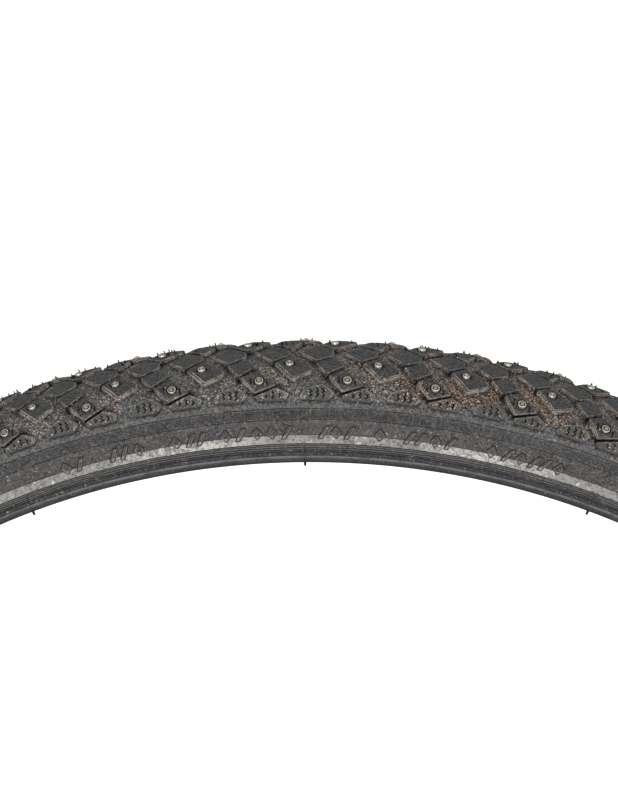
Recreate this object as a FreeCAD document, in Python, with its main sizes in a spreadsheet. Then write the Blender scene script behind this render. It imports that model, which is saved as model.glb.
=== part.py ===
import FreeCAD, Part
import math
import os
import Sketcher
from FreeCAD import Placement, Rotation, Vector

# Studded winter bicycle tyre, size 42-622, as it leaves the mould: a U-shaped
# rubber carcass on two steel wire beads, off the rim.
#
# Frame: origin at the wheel centre, +Y is the spin axis, +Z is up.
# "left" is the -Y half and "right" the +Y half.
# Every section below is drawn in the (y, r) half-plane, where r is the radius
# from the spin axis, and is then turned about +Y.

doc = FreeCAD.newDocument("studded_tire")
sheet = doc.addObject("Spreadsheet::Sheet", "Sizes")

# ---------------------------------------------------------------- dimensions
SIZES = []


def size(alias, value):
    SIZES.append((alias, value))


size("bead_seat_radius", 311.0)      # half of the 622 mm bead seat diameter
size("studs_per_row", 60)
size("pitch_angle", 6.0)             # one tread pitch
size("half_pitch", 3.0)              # the right half runs half a pitch ahead
size("pattern_start", 1.866)         # angle of the first stud of the left outer row
size("inner_row_lead", 2.042)        # inner row ahead of the outer row
size("ply_t", 0.4)                   # one rubberised cord ply
size("belt_t", 0.5)                  # breaker strip under the crown
size("base_t", 1.8)                  # rubber under the grooves, from ply to floor
size("chafer_t", 0.6)
size("strip_t", 0.35)                # reflective strip
size("wire_radius", 0.4)             # bead wire
size("wire_pitch", 1.1)

# cavity stations: a point on the inside of the casing and the direction of the
# wall's outward normal there (0 is along +y, 90 is along +r), from the crown to
# the bead
CAVITY = [(0.0, 345.2, 90.0), (7.0, 345.0, 87.0), (13.0, 344.2, 80.0),
          (17.5, 342.6, 66.0), (20.4, 340.1, 45.0), (21.9, 337.0, 20.0),
          (22.4, 333.0, 4.0), (22.1, 329.5, -8.0), (21.3, 326.0, -12.0),
          (20.4, 322.3, -12.0), (19.8, 319.0, -11.0), (19.2, 316.9, -12.0),
          (19.0, 315.4, 0.0)]
for k, (cy, cr, ca) in enumerate(CAVITY):
    size("cav_y_%d" % k, cy)
    size("cav_rad_%d" % k, cr)
    size("cav_ang_%d" % k, ca)

# height of the groove floor above the cavity at the stations that shape it
FLOOR = [(1, 3.0), (3, 3.3), (4, 3.1), (5, 2.8)]
for k, v in FLOOR:
    size("floor_%d" % k, v)

# outer face of the tread blocks, crown to lug foot
CROWN = [(9.4, 351.0), (20.4, 348.4), (24.6, 345.1), (26.1, 339.7)]
for k, (cy, cr) in enumerate(CROWN):
    size("crown_y_%d" % k, cy)
    size("crown_rad_%d" % k, cr)

# outer face of the sidewall, from the tread edge down to the bead:
# a moulded line, a ribbed band, a second line, the smooth zone, the recess for
# the reflective strip, a ridge, five fine ribs and the plain band over the bead
SKIN = [(24.60, 336.1), (24.86, 335.9), (24.86, 335.6), (24.58, 335.4),
        (24.62, 334.4), (24.52, 334.2), (24.58, 333.2), (24.48, 333.0),
        (24.50, 332.0), (24.38, 331.8), (24.34, 331.2),
        (24.58, 331.0), (24.56, 330.7), (24.26, 330.5), (23.45, 327.0), (22.35, 323.1),
        (22.00, 323.1), (21.58, 318.7), (21.95, 318.7), (22.20, 318.5), (22.20, 318.1),
        (22.02, 317.9), (22.28, 317.65), (22.14, 317.4), (22.42, 317.15), (22.28, 316.9),
        (22.56, 316.65), (22.44, 316.4), (22.72, 316.15), (22.60, 315.9), (22.90, 315.6),
        (22.90, 315.2), (23.25, 314.9), (23.40, 314.2)]
for k, (cy, cr) in enumerate(SKIN):
    size("skin_y_%d" % k, cy)
    size("skin_rad_%d" % k, cr)
STRIP_TOP, STRIP_FOOT = 15, 18       # skin points at the two edges of the strip

size("bead_inner_y", 18.4)           # cavity side of the bead
size("bead_outer_y", 23.4)
size("bead_corner", 0.5)
size("chafer_leg", 315.0)            # top of the chafer on the cavity side
size("wire_y", 20.35)                # first wire of the hoop pack
size("wire_rad", 312.75)

# studs: distances along the stud from the rubber surface
size("outer_row_y", 21.7)
size("outer_row_rad", 347.6)
size("outer_row_tilt", 29.0)
size("inner_row_y", 11.25)
size("inner_row_rad", 350.45)
size("inner_row_tilt", 7.0)
size("stud_depth", 4.1)
size("flange_radius", 3.1)
size("flange_t", 0.7)
size("head_radius", 1.75)
size("head_proud", 0.35)
size("pin_radius", 1.0)
size("pin_seat", 2.2)
size("pin_proud", 1.0)
size("pin_tip_radius", 0.75)

# moulded blocks of one pitch of the left half: angle from the outer stud row,
# centre (y, r), lean of the block's walls, outline (round the tyre, across it
# towards the shoulder). The crown block serves both halves, twice a pitch.
BLOCKS = [
    ("crown", -2.017, 0.00, 351.00, 0.0,
     [(-7.59, -0.0), (-0.67, -8.4), (6.25, -2.85), (6.25, 2.85), (-0.67, 8.4)]),
    ("inner_stud", -3.693, 12.87, 350.28, 9.0,
     [(-8.15, -2.88), (-1.67, -8.67), (4.63, -3.29), (7.8, 1.72), (7.36, 4.11), (-0.75, 8.55)]),
    ("small", -1.189, 11.96, 350.42, 8.0,
     [(-6.22, -1.77), (2.35, -6.57), (5.83, 0.92), (-1.26, 7.21)]),
    ("outer_stud", -0.148, 21.36, 347.79, 33.0,
     [(-7.29, -2.08), (0.13, -6.43), (7.93, 2.7), (-1.55, 5.72)]),
    ("long_lug", -2.028, 25.44, 342.88, 45.0,
     [(-7.21, 0.84), (-5.4, -1.94), (2.49, -4.13), (7.26, -0.38), (3.3, 5.0), (-6.0, 5.0)]),
    ("short_lug", 0.871, 25.65, 342.10, 45.0,
     [(-7.39, -0.12), (2.19, -3.52), (6.54, -0.57), (3.9, 5.0), (-5.3, 5.0)]),
]
for name, phi, by, brad, lean, outline in BLOCKS:
    size("blk_%s_phi" % name, phi)
    size("blk_%s_y" % name, by)
    size("blk_%s_rad" % name, brad)
    size("blk_%s_lean" % name, lean)
    for k, (u, v) in enumerate(outline):
        size("blk_%s_u_%d" % (name, k), u)
        size("blk_%s_v_%d" % (name, k), v)
size("block_over", 1.5)              # how far a raw block stands over the crown
size("block_reach", 9.0)             # full height of a raw block before trimming

VALUES = {}
for row, (alias, value) in enumerate(SIZES, start=1):
    sheet.set("A%d" % row, alias)
    sheet.set("B%d" % row, repr(value))
    sheet.setAlias("B%d" % row, alias)
    VALUES[alias] = float(value)
doc.recompute()


# A number that knows the sheet expression it came from, so that a sketch can be
# drawn at the right place and bound to the sheet in one step.
class Dim:
    def __init__(self, value, text):
        self.value = value
        self.text = text

    def __add__(self, other):
        other = dim(other)
        return Dim(self.value + other.value, "(%s + %s)" % (self.text, other.text))

    def __sub__(self, other):
        other = dim(other)
        return Dim(self.value - other.value, "(%s - %s)" % (self.text, other.text))

    def __mul__(self, other):
        other = dim(other)
        return Dim(self.value * other.value, "(%s * %s)" % (self.text, other.text))

    def __neg__(self):
        return Dim(-self.value, "(-1 * %s)" % self.text)


def dim(x):
    if isinstance(x, Dim):
        return x
    if isinstance(x, str):
        return Dim(VALUES[x], "Sizes.%s" % x)
    return Dim(float(x), repr(float(x)))


def cosd(x):
    x = dim(x)
    return Dim(math.cos(math.radians(x.value)), "cos(%s * 1deg)" % x.text)


def sind(x):
    x = dim(x)
    return Dim(math.sin(math.radians(x.value)), "sin(%s * 1deg)" % x.text)


def off(k, *parts):
    """Point at the summed height of parts above cavity station k."""
    total = dim(parts[0])
    for p in parts[1:]:
        total = total + p
    a = "cav_ang_%d" % k
    return (dim("cav_y_%d" % k) + total * cosd(a), dim("cav_rad_%d" % k) + total * sind(a))


def flip(points, side):
    return [(dim(y) if side > 0 else -dim(y), dim(r)) for y, r in points]


def plane(body, role):
    for o in body.Origin.OriginFeatures:
        if o.Role == role:
            return o
    raise RuntimeError("no origin feature " + role)


def polygon(sketch, points):
    """Closed outline whose corners are held by the sheet."""
    n = len(points)
    first = sketch.GeometryCount
    pts = [Vector(dim(a).value, dim(b).value, 0) for a, b in points]
    for i in range(n):
        sketch.addGeometry(Part.LineSegment(pts[i], pts[(i + 1) % n]), False)
    for i in range(n):
        sketch.addConstraint(Sketcher.Constraint(
            "Coincident", first + i, 2, first + (i + 1) % n, 1))
    for i, (a, b) in enumerate(points):
        c = sketch.addConstraint(Sketcher.Constraint(
            "DistanceX", -1, 1, first + i, 1, dim(a).value))
        sketch.setExpression("Constraints[%d]" % c, dim(a).text)
        c = sketch.addConstraint(Sketcher.Constraint(
            "DistanceY", -1, 1, first + i, 1, dim(b).value))
        sketch.setExpression("Constraints[%d]" % c, dim(b).text)


def circle(sketch, y, r, radius):
    g = sketch.addGeometry(Part.Circle(Vector(dim(y).value, dim(r).value, 0),
                                       Vector(0, 0, 1), dim(radius).value), False)
    for kind, val in (("DistanceX", y), ("DistanceY", r)):
        c = sketch.addConstraint(Sketcher.Constraint(kind, -1, 1, g, 3, dim(val).value))
        sketch.setExpression("Constraints[%d]" % c, dim(val).text)
    c = sketch.addConstraint(Sketcher.Constraint("Radius", g, dim(radius).value))
    sketch.setExpression("Constraints[%d]" % c, dim(radius).text)


def new_body(label):
    body = doc.addObject("PartDesign::Body", label)
    body.Label = label
    body.AllowCompound = True
    return body


def section_sketch(body, label):
    s = body.newObject("Sketcher::SketchObject", label + "_section")
    s.AttachmentSupport = [(plane(body, "YZ_Plane"), "")]
    s.MapMode = "FlatFace"
    return s


def ring(label, points=None, circles=()):
    """A body turned about the spin axis from one closed section."""
    body = new_body(label)
    s = section_sketch(body, label)
    if points:
        polygon(s, points)
    for c in circles:
        circle(s, *c)
    doc.recompute()
    rev = body.newObject("PartDesign::Revolution", label + "_turned")
    rev.Profile = s
    rev.ReferenceAxis = (s, ["H_Axis"])
    rev.Angle = 360
    body.Tip = rev
    return body


def both(points):
    """Mirror a right-hand run of points that starts on the crown line."""
    return [(-dim(y), dim(r)) for y, r in reversed(points[1:])] + [(dim(y), dim(r)) for y, r in points]


def mirrored(points):
    """The same for a run that starts beside the crown line, bridged across it."""
    return [(-dim(y), dim(r)) for y, r in reversed(points)] + [(dim(y), dim(r)) for y, r in points]


LAST = len(CAVITY) - 1
ply, belt = "ply_t", "belt_t"
seat = dim("bead_seat_radius")
inner_y, outer_y = dim("bead_inner_y"), dim("bead_outer_y")
ch = dim("chafer_t")
corner = dim("bead_corner")

EXPORT = []

# ---------------------------------------------------------------- casing
# Inner ply: from bead to bead, round the wires and up again on the outside as
# far as station 9.
cav = [off(k, 0.0) for k in range(LAST + 1)]
ply1 = [off(k, ply) for k in range(LAST + 1)]
ply2 = [off(k, ply, ply) for k in range(LAST + 1)]
turn_in = [off(k, ply, ply) for k in (10, 9)]          # inside of the turn-up
turn_out = [off(k, ply, ply, ply) for k in (10, 9)]    # outside of the turn-up
leg_a = inner_y + ch                                    # cavity leg, bare side
leg_b = inner_y + ch + ply
leg_c = outer_y - ch - ply
leg_d = outer_y - ch                                    # outer leg, outside
foot_a = seat + ch
foot_b = seat + ch + ply
neck = dim("skin_rad_%d" % (len(SKIN) - 1))             # where chafer and sidewall butt

half = (cav + [(leg_a, foot_a), (leg_d, foot_a), (leg_d, neck)] + turn_out
        + list(reversed(turn_in)) + [(leg_c, neck), (leg_c, foot_b), (leg_b, foot_b)]
        + list(reversed(ply1)))
# the half outline runs crown (inside) -> bead -> crown (outside)
right_run = [(dim(y), dim(r)) for y, r in half]
left_run = [(-dim(y), dim(r)) for y, r in reversed(half)]
EXPORT.append(ring("casing_ply_inner", right_run + left_run[1:-1]))

# Outer ply: over the inner one, down to the top of each bead.
run_in = [off(k, ply) for k in range(12)]
run_out = [off(k, ply, ply) for k in range(12)]
EXPORT.append(ring("casing_ply_outer",
                   both(run_in) + list(reversed(both(run_out)))))

# Breaker strip under the crown.
run_in = [off(k, ply, ply) for k in range(3)]
run_out = [off(k, ply, ply, belt) for k in range(3)]
EXPORT.append(ring("puncture_belt",
                   both(run_in) + list(reversed(both(run_out)))))

# ---------------------------------------------------------------- beads
for side, tag in ((-1, "left"), (1, "right")):
    wires = []
    for i in range(2):
        for j in range(3):
            y = dim("wire_y") + dim("wire_pitch") * float(i)
            r = dim("wire_rad") + dim("wire_pitch") * float(j)
            wires.append((y if side > 0 else -y, r, "wire_radius"))
    EXPORT.append(ring("bead_core_" + tag, circles=wires))

    # rubber round the wires, rising to a point between the two plies
    EXPORT.append(ring("bead_filler_" + tag, flip(
        [(leg_b, foot_b), (leg_c, foot_b), (leg_c, neck), turn_in[0],
         ply2[11], ply1[11], ply1[12]], side), circles=wires))

    # chafer: a U round the bead, its foot is the bead seat
    EXPORT.append(ring("chafer_" + tag, flip(
        [(leg_a, dim("cav_rad_12")), (inner_y, dim("chafer_leg")),
         (inner_y, seat + corner), (inner_y + corner, seat),
         (outer_y - corner, seat), (outer_y, seat + corner), (outer_y, neck),
         (leg_d, neck), (leg_d, foot_a), (leg_a, foot_a)], side)))

    # sidewall rubber
    skin = [(dim("skin_y_%d" % k), dim("skin_rad_%d" % k)) for k in range(len(SKIN))]
    inside = [off(k, ply, ply) for k in range(5, 10)]
    EXPORT.append(ring("sidewall_" + tag, flip(
        [off(5, "floor_5")] + skin + [(leg_d, neck)] + turn_out
        + list(reversed(inside)), side)))

    # reflective strip, bonded in its recess
    top, foot = STRIP_TOP, STRIP_FOOT
    EXPORT.append(ring("reflective_strip_" + tag, flip(
        [skin[top], skin[top + 1], skin[foot - 1], skin[foot]], side)))

# ---------------------------------------------------------------- tread
# groove floor band
edge_in = [off(0, ply, ply, belt), off(1, ply, ply, belt), off(2, ply, ply, belt),
           off(2, ply, ply), off(3, ply, ply), off(4, ply, ply), off(5, ply, ply)]
floor = [off(k, "floor_%d" % k) for k, v in FLOOR]
band = ring("tread_band", both(edge_in) + list(reversed(mirrored(floor))))

# everything the blocks may fill: from the middle of the band to the block faces
core = [off(1, "base_t", 0.3), off(3, "base_t", 0.3), off(4, "base_t"), off(5, "base_t")]
shell = ([(dim("crown_y_%d" % k), dim("crown_rad_%d" % k)) for k in range(len(CROWN))]
         + [off(5, "floor_5")])
envelope = ring("tread_envelope", mirrored(core) + list(reversed(mirrored(shell))))

trimmed = []
for name, phi, by, brad, lean, outline in BLOCKS:
    body = new_body("raw_" + name)
    s = body.newObject("Sketcher::SketchObject", "raw_%s_outline" % name)
    s.AttachmentSupport = [(plane(body, "XY_Plane"), "")]
    s.MapMode = "FlatFace"
    key = "blk_" + name
    s.AttachmentOffset = Placement(Vector(0, -by, brad), Rotation(Vector(1, 0, 0), max(lean, 0.001)))
    out_y = dim(key + "_y") + dim("block_over") * sind(key + "_lean")
    out_r = dim(key + "_rad") + dim("block_over") * cosd(key + "_lean")
    s.setExpression("AttachmentOffset.Base.y", (-out_y).text)
    s.setExpression("AttachmentOffset.Base.z", out_r.text)
    if lean:
        s.setExpression("AttachmentOffset.Rotation.Angle", "Sizes.%s_lean" % key)
    polygon(s, [("%s_u_%d" % (key, k), -dim("%s_v_%d" % (key, k)))
                for k in range(len(outline))])
    doc.recompute()
    pad = body.newObject("PartDesign::Pad", "raw_%s_pad" % name)
    pad.Profile = s
    pad.Reversed = True
    pad.Length = 9
    pad.setExpression("Length", "Sizes.block_reach")
    body.Tip = pad
    cut = doc.addObject("Part::Common", "block_" + name)
    cut.Base = body
    cut.Tool = envelope
    trimmed.append((name, cut))

# ---------------------------------------------------------------- studs
# flanged metal body, seated in the rubber, and the hard pin pressed into it
z = dim(0.0)
depth = -dim("stud_depth")
ledge = depth + "flange_t"
BODY = [(z, depth), ("flange_radius", depth), ("flange_radius", ledge),
        ("head_radius", ledge), ("head_radius", "head_proud"), ("pin_radius", "head_proud"),
        ("pin_radius", -dim("pin_seat")), (z, -dim("pin_seat"))]
POCKET = [(z, depth), ("flange_radius", depth), ("flange_radius", ledge),
          ("head_radius", ledge), ("head_radius", "pin_proud"), (z, "pin_proud")]
PIN = [(z, -dim("pin_seat")), ("pin_radius", -dim("pin_seat")), ("pin_radius", dim("pin_proud") - 0.3),
       ("pin_tip_radius", "pin_proud"), (z, "pin_proud")]


def stud_row(label, points, row, side, turn, export=True):
    """One turned piece on a row's axis, repeated round the tyre."""
    body = new_body(label)
    s = section_sketch(body, label)
    lean = VALUES[row + "_tilt"]
    s.AttachmentOffset = Placement(
        Vector(side * VALUES[row + "_y"], VALUES[row + "_rad"], 0),
        Rotation(Vector(0, 0, 1), -side * lean))
    s.setExpression("AttachmentOffset.Base.x", "%d * Sizes.%s_y" % (side, row))
    s.setExpression("AttachmentOffset.Base.y", "Sizes.%s_rad" % row)
    s.setExpression("AttachmentOffset.Rotation.Yaw", "%d * Sizes.%s_tilt" % (-side, row))
    polygon(s, points)
    doc.recompute()
    rev = body.newObject("PartDesign::Revolution", label + "_turned")
    rev.Profile = s
    rev.ReferenceAxis = (s, ["V_Axis"])
    rev.Angle = 360
    doc.recompute()
    pat = body.newObject("PartDesign::PolarPattern", label + "_round")
    pat.Originals = [rev]
    pat.Axis = (plane(body, "Y_Axis"), [""])
    pat.Angle = 360
    pat.Occurrences = 60
    pat.setExpression("Occurrences", "Sizes.studs_per_row")
    body.Tip = pat
    body.Placement = Placement(Vector(0, 0, 0), Rotation(Vector(0, 1, 0), turn.value))
    body.setExpression("Placement.Rotation.Angle", turn.text)
    if export:
        EXPORT.append(body)
    return body


start = dim("pattern_start")
ROWS = [("outer_left", "outer_row", -1, start),
        ("inner_left", "inner_row", -1, start + "inner_row_lead"),
        ("inner_right", "inner_row", 1, start + "inner_row_lead" + "half_pitch"),
        ("outer_right", "outer_row", 1, start + "half_pitch")]
pockets = []
for tag, row, side, turn in ROWS:
    stud_row("stud_bodies_" + tag, BODY, row, side, turn)
    stud_row("stud_pins_" + tag, PIN, row, side, turn)
    pockets.append(stud_row("stud_pockets_" + tag, POCKET, row, side, turn, export=False))

doc.recompute()

# The finished tread: 60 pitches of blocks on both halves, one piece with the
# band, less the stud pockets. The right half is the left half mirrored in the
# middle plane and moved on by half a pitch.
count = int(VALUES["studs_per_row"])
blocks = []
for name, obj in trimmed:
    if obj.Shape.isNull() or not obj.Shape.Solids:
        raise RuntimeError("block %s is empty" % name)
    base = obj.Shape.Solids[0]
    phi = VALUES["pattern_start"] + VALUES["blk_%s_phi" % name]
    turns = [(base, phi)]
    if name == "crown":
        turns.append((base, phi + VALUES["half_pitch"]))
    else:
        other = base.mirror(Vector(0, 0, 0), Vector(0, 1, 0))
        turns.append((other, phi + VALUES["half_pitch"]))
    for shape, angle in turns:
        for k in range(count):
            c = shape.copy()
            c.rotate(Vector(0, 0, 0), Vector(0, 1, 0), angle + k * VALUES["pitch_angle"])
            blocks.append(c)
tread_shape = band.Shape.fuse(blocks)
tread_shape = tread_shape.cut([s for p in pockets for s in p.Shape.Solids])
if len(tread_shape.Solids) != 1:
    raise RuntimeError("tread came out as %d solids" % len(tread_shape.Solids))
tread = doc.addObject("Part::Feature", "tread")
tread.Label = "tread"
tread.Shape = tread_shape.Solids[0]
tread.Placement = Placement()
EXPORT.insert(0, tread)
doc.recompute()

# ---------------------------------------------------------------- export
for obj in doc.Objects:
    state = getattr(obj, "State", [])
    if "Invalid" in state or "Error" in state:
        raise RuntimeError("%s failed: %s" % (obj.Label, state))
for obj in EXPORT:
    if obj.Shape.isNull() or not obj.Shape.isValid() or not obj.Shape.Solids:
        raise RuntimeError("%s has no valid solid" % obj.Label)
os.makedirs("parts", exist_ok=True)
for obj in EXPORT:
    obj.Shape.exportStep("parts/%s.step" % obj.Label)
    box = obj.Shape.BoundBox
    print("%-28s solids %3d faces %5d volume %10.1f  y %.2f..%.2f  r %.2f" % (
        obj.Label, len(obj.Shape.Solids), len(obj.Shape.Faces), obj.Shape.Volume,
        box.YMin, box.YMax, box.XMax))
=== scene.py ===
import bmesh
import bpy
import math
import numpy as np
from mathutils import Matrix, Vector
from mathutils.geometry import delaunay_2d_cdt


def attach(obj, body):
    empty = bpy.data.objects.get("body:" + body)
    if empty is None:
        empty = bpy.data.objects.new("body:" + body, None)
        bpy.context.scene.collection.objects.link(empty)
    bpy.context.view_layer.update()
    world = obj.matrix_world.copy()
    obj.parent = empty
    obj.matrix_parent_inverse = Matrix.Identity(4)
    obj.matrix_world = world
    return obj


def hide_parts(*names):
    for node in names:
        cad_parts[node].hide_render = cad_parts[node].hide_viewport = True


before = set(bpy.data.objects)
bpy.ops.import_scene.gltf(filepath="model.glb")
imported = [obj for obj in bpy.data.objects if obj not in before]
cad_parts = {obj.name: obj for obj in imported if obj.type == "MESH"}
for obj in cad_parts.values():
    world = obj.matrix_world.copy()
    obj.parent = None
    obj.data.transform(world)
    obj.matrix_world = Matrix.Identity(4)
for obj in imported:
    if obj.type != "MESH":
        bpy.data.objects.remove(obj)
scene = bpy.context.scene
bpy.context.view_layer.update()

MM = 0.001
TAU = 2 * math.pi
PITCHES = 60
UMM = math.radians(1) * 350.0          # mm round the tyre per degree at the crown


# ------------------------------------------------------------------ curves
def pchip(xs, ys):
    """Monotone cubic through the points, as (value, slope) of x."""
    xs, ys = np.asarray(xs, float), np.asarray(ys, float)
    h, d = np.diff(xs), np.diff(ys) / np.diff(xs)
    m = np.zeros(len(xs))
    for i in range(1, len(xs) - 1):
        if d[i - 1] * d[i] > 0:
            w1, w2 = 2 * h[i] + h[i - 1], h[i] + 2 * h[i - 1]
            m[i] = (w1 + w2) / (w1 / d[i - 1] + w2 / d[i])
    m[0], m[-1] = d[0], d[-1]

    def f(x):
        x = np.clip(np.asarray(x, float), xs[0], xs[-1])
        i = np.clip(np.searchsorted(xs, x, side="right") - 1, 0, len(h) - 1)
        t = (x - xs[i]) / h[i]
        a, b = ys[i], ys[i + 1]
        ma, mb = m[i] * h[i], m[i + 1] * h[i]
        v = (2 * t**3 - 3 * t**2 + 1) * a + (t**3 - 2 * t**2 + t) * ma + (3 * t**2 - 2 * t**3) * b + (t**3 - t**2) * mb
        g = ((6 * t**2 - 6 * t) * a + (3 * t**2 - 4 * t + 1) * ma + (6 * t - 6 * t**2) * b + (3 * t**2 - 2 * t) * mb) / h[i]
        return v, g
    return f


def catmull(points, n):
    """Smooth open run through points, n steps a span."""
    p = np.array(points, float)
    p = np.vstack([2 * p[0] - p[1], p, 2 * p[-1] - p[-2]])
    out = []
    for i in range(1, len(p) - 2):
        a, b, c, d = p[i - 1], p[i], p[i + 1], p[i + 2]
        for t in np.linspace(0, 1, n, endpoint=False):
            out.append(0.5 * (2 * b + (c - a) * t + (2 * a - 5 * b + 4 * c - d) * t * t + (3 * b - a - 3 * c + d) * t**3))
    out.append(p[-2])
    return np.array(out)


# top of the blocks, from the crown line to the foot of the lugs, in (y, r)
PROF = np.array([(0, 351.0), (5, 350.95), (11.25, 350.5), (17, 349.4), (21.7, 347.6),
                 (24.2, 345.4), (25.4, 343.0), (26.0, 340.0), (26.1, 336.0)], float)
ARC = np.concatenate([[0], np.cumsum(np.hypot(*np.diff(PROF, axis=0).T))])
top_y, top_r = pchip(ARC, PROF[:, 0]), pchip(ARC, PROF[:, 1])
EDGE = 33.3                             # arc length of the tread edge
GROOVE = ([0, 15, 22, 26, 29, 31.7, EDGE], [1.9, 2.2, 2.5, 2.8, 2.5, 1.85, 1.57])


def groove(s):
    return np.interp(np.abs(s), *GROOVE)


def tread_points(phi, s, d):
    """phi in degrees, s in mm (positive on the -Y half), d in mm below the block tops."""
    a = np.abs(s)
    y, gy = top_y(a)
    r, gr = top_r(a)
    n = np.hypot(gy, gr)
    y = y + d * gr / n
    r = r - d * gy / n
    y = np.where(np.asarray(s) >= 0, -y, y)
    t = np.radians(phi)
    return np.stack([r * np.sin(t), y, r * np.cos(t)], -1) * MM


# ------------------------------------------------------------------ meshes
def add_mesh(name, verts, faces, smooth=True, attrs=None, angle=None):
    me = bpy.data.meshes.new(name)
    verts = np.asarray(verts, float)
    me.vertices.add(len(verts))
    me.vertices.foreach_set("co", verts.astype(np.float32).ravel())
    if isinstance(faces, np.ndarray):
        sizes = np.full(len(faces), faces.shape[1], np.int32)
        flat = faces.astype(np.int32).ravel()
    else:
        sizes = np.array([len(f) for f in faces], np.int32)
        flat = np.concatenate([np.asarray(f, np.int32) for f in faces])
    me.loops.add(len(flat))
    me.loops.foreach_set("vertex_index", flat)
    me.polygons.add(len(sizes))
    me.polygons.foreach_set("loop_start", np.concatenate([[0], np.cumsum(sizes)[:-1]]).astype(np.int32))
    me.polygons.foreach_set("use_smooth", np.full(len(sizes), smooth))
    for key, values in (attrs or {}).items():
        me.attributes.new(key, "FLOAT", "POINT").data.foreach_set("value", np.asarray(values, np.float32))
    me.update(calc_edges=True)
    me.validate()
    if angle is not None:
        me.set_sharp_from_angle(angle=math.radians(angle))
    ob = bpy.data.objects.new(name, me)
    scene.collection.objects.link(ob)
    return ob


def signed_volume(verts, faces):
    v = 0.0
    for f in faces:
        a = verts[f[0]]
        for i in range(1, len(f) - 1):
            v += np.dot(a, np.cross(verts[f[i]], verts[f[i + 1]]))
    return v / 6


def grid_faces(rows, cols, wrap_rows, wrap_cols):
    i = np.arange(rows if wrap_rows else rows - 1)
    j = np.arange(cols if wrap_cols else cols - 1)
    I, J = np.meshgrid(i, j, indexing="ij")
    I2, J2 = (I + 1) % rows, (J + 1) % cols
    return np.stack([I * cols + J, I2 * cols + J, I2 * cols + J2, I * cols + J2], -1).reshape(-1, 4)


def turned(name, section, cols=480, closed=True, attrs=None, angle=35, wobble=None):
    """A ring about the spin axis from a closed (y, r) section given anticlockwise."""
    sec = np.asarray(section, float)
    y, r = sec[:, 0], sec[:, 1]
    area = 0.5 * np.sum(y * np.roll(r, -1) - np.roll(y, -1) * r)
    if area < 0:
        sec = sec[::-1]
        attrs = {k: np.asarray(v)[::-1] for k, v in (attrs or {}).items()}
        y, r = sec[:, 0], sec[:, 1]
    t = np.arange(cols) * TAU / cols
    Y = np.repeat(y[:, None], cols, 1)
    R = np.repeat(r[:, None], cols, 1)
    if wobble is not None:
        Y, R = wobble(Y, R, t[None, :] * np.ones_like(Y))
    v = np.stack([R * np.sin(t), Y, R * np.cos(t)], -1).reshape(-1, 3) * MM
    f = grid_faces(len(sec), cols, closed, True)[:, ::-1]
    full = {k: np.repeat(np.asarray(a, float), cols) for k, a in (attrs or {}).items()}
    return add_mesh(name, v, f, attrs=full, angle=angle)


rng = np.random.default_rng(7)

# ------------------------------------------------------------------ tread pattern
# outlines as (degrees, arc mm), anticlockwise or clockwise as they come; the
# wide chamfers are listed by edge number
CROWN_BLOCK = ([(-1.39, 0.0), (-0.26, -8.4), (0.87, -2.85), (0.87, 2.85), (-0.26, 8.4)], {})
HALF_BLOCKS = {
    "B": ([(-3.16, 10.0), (-2.10, 4.2), (-1.07, 9.6), (-0.55, 14.6), (-0.62, 17.0), (-1.95, 21.5)], {5: 1.05, 4: 0.6}),
    "U": ([(-0.34, 10.2), (1.06, 5.4), (1.63, 12.9), (0.44, 18.9)], {}),
    "A": ([(0.56, 19.9), (1.74, 15.1), (3.03, 24.4), (1.46, 27.8)], {3: 0.8, 1: 0.5}),
    "L1": ([(-1.37, 29.2), (-1.06, 26.2), (0.25, 24.0), (1.05, 27.8), (0.56, 31.7), (-1.19, 31.2)], {2: 0.7, 3: 1.05, 4: 1.2, 0: 0.5, 5: 0.5}),
    "L2": ([(1.5, 28.9), (3.1, 25.3), (3.83, 28.4), (3.57, 31.7), (1.71, 31.5)], {1: 0.7, 2: 1.05, 3: 1.2, 4: 0.5}),
}
# path through the grooves where one pitch meets the next
PATH_A = [(-1.76, 0), (-1.50, 4.2), (-0.70, 9.5), (-0.25, 14.4), (-0.17, 17), (-0.2, 19.9), (0.66, 24.0), (1.27, 27.8), (1.2, 28.9), (1.13, 31.7), (1.13, EDGE)]
PATH_B = [(1.24, 0), (1.62, 5.0), (2.0, 9.0), (2.3, 12.9), (2.55, 15.1), (3.15, 20.0), (3.6, 24.4), (4.1, 26.6), (4.27, 28.6), (4.2, 31.2), (4.2, EDGE)]
STUDS = {"outer": (1.866, 22.1), "inner": (-2.09, 11.3)}


def step(s):
    return 4.2 if abs(s) < 18 else 2.1


def refine(loop, closed=True, longest=5.0):
    out = []
    n = len(loop)
    for i in range(n if closed else n - 1):
        a, b = np.array(loop[i], float), np.array(loop[(i + 1) % n], float)
        k = max(1, math.ceil(abs(b[1] - a[1]) / step((a[1] + b[1]) / 2) - 0.15),
                math.ceil(np.hypot(b[0] - a[0], b[1] - a[1]) / longest - 0.15))
        for j in range(k):
            out.append(a + (b - a) * j / k)
    if not closed:
        out.append(np.array(loop[-1], float))
    return out


def offset(poly, widths):
    """Moves each edge inward by its width (outward if negative)."""
    p = np.array(poly, float)[:, :2]
    n = len(p)
    area = 0.5 * sum(p[i][0] * p[(i + 1) % n][1] - p[(i + 1) % n][0] * p[i][1] for i in range(n))
    sg = 1 if area > 0 else -1
    lines = []
    for i in range(n):
        a, b = p[i], p[(i + 1) % n]
        d = (b - a) / np.hypot(*(b - a))
        nrm = np.array([-d[1], d[0]]) * sg
        lines.append((a + nrm * widths[i], d))
    out = []
    for i in range(n):
        (a, d), (b, e) = lines[i - 1], lines[i]
        m = np.array([[d[0], -e[0]], [d[1], -e[1]]])
        t = np.linalg.solve(m, b - a)
        out.append(a + d * t[0])
    return out


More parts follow.
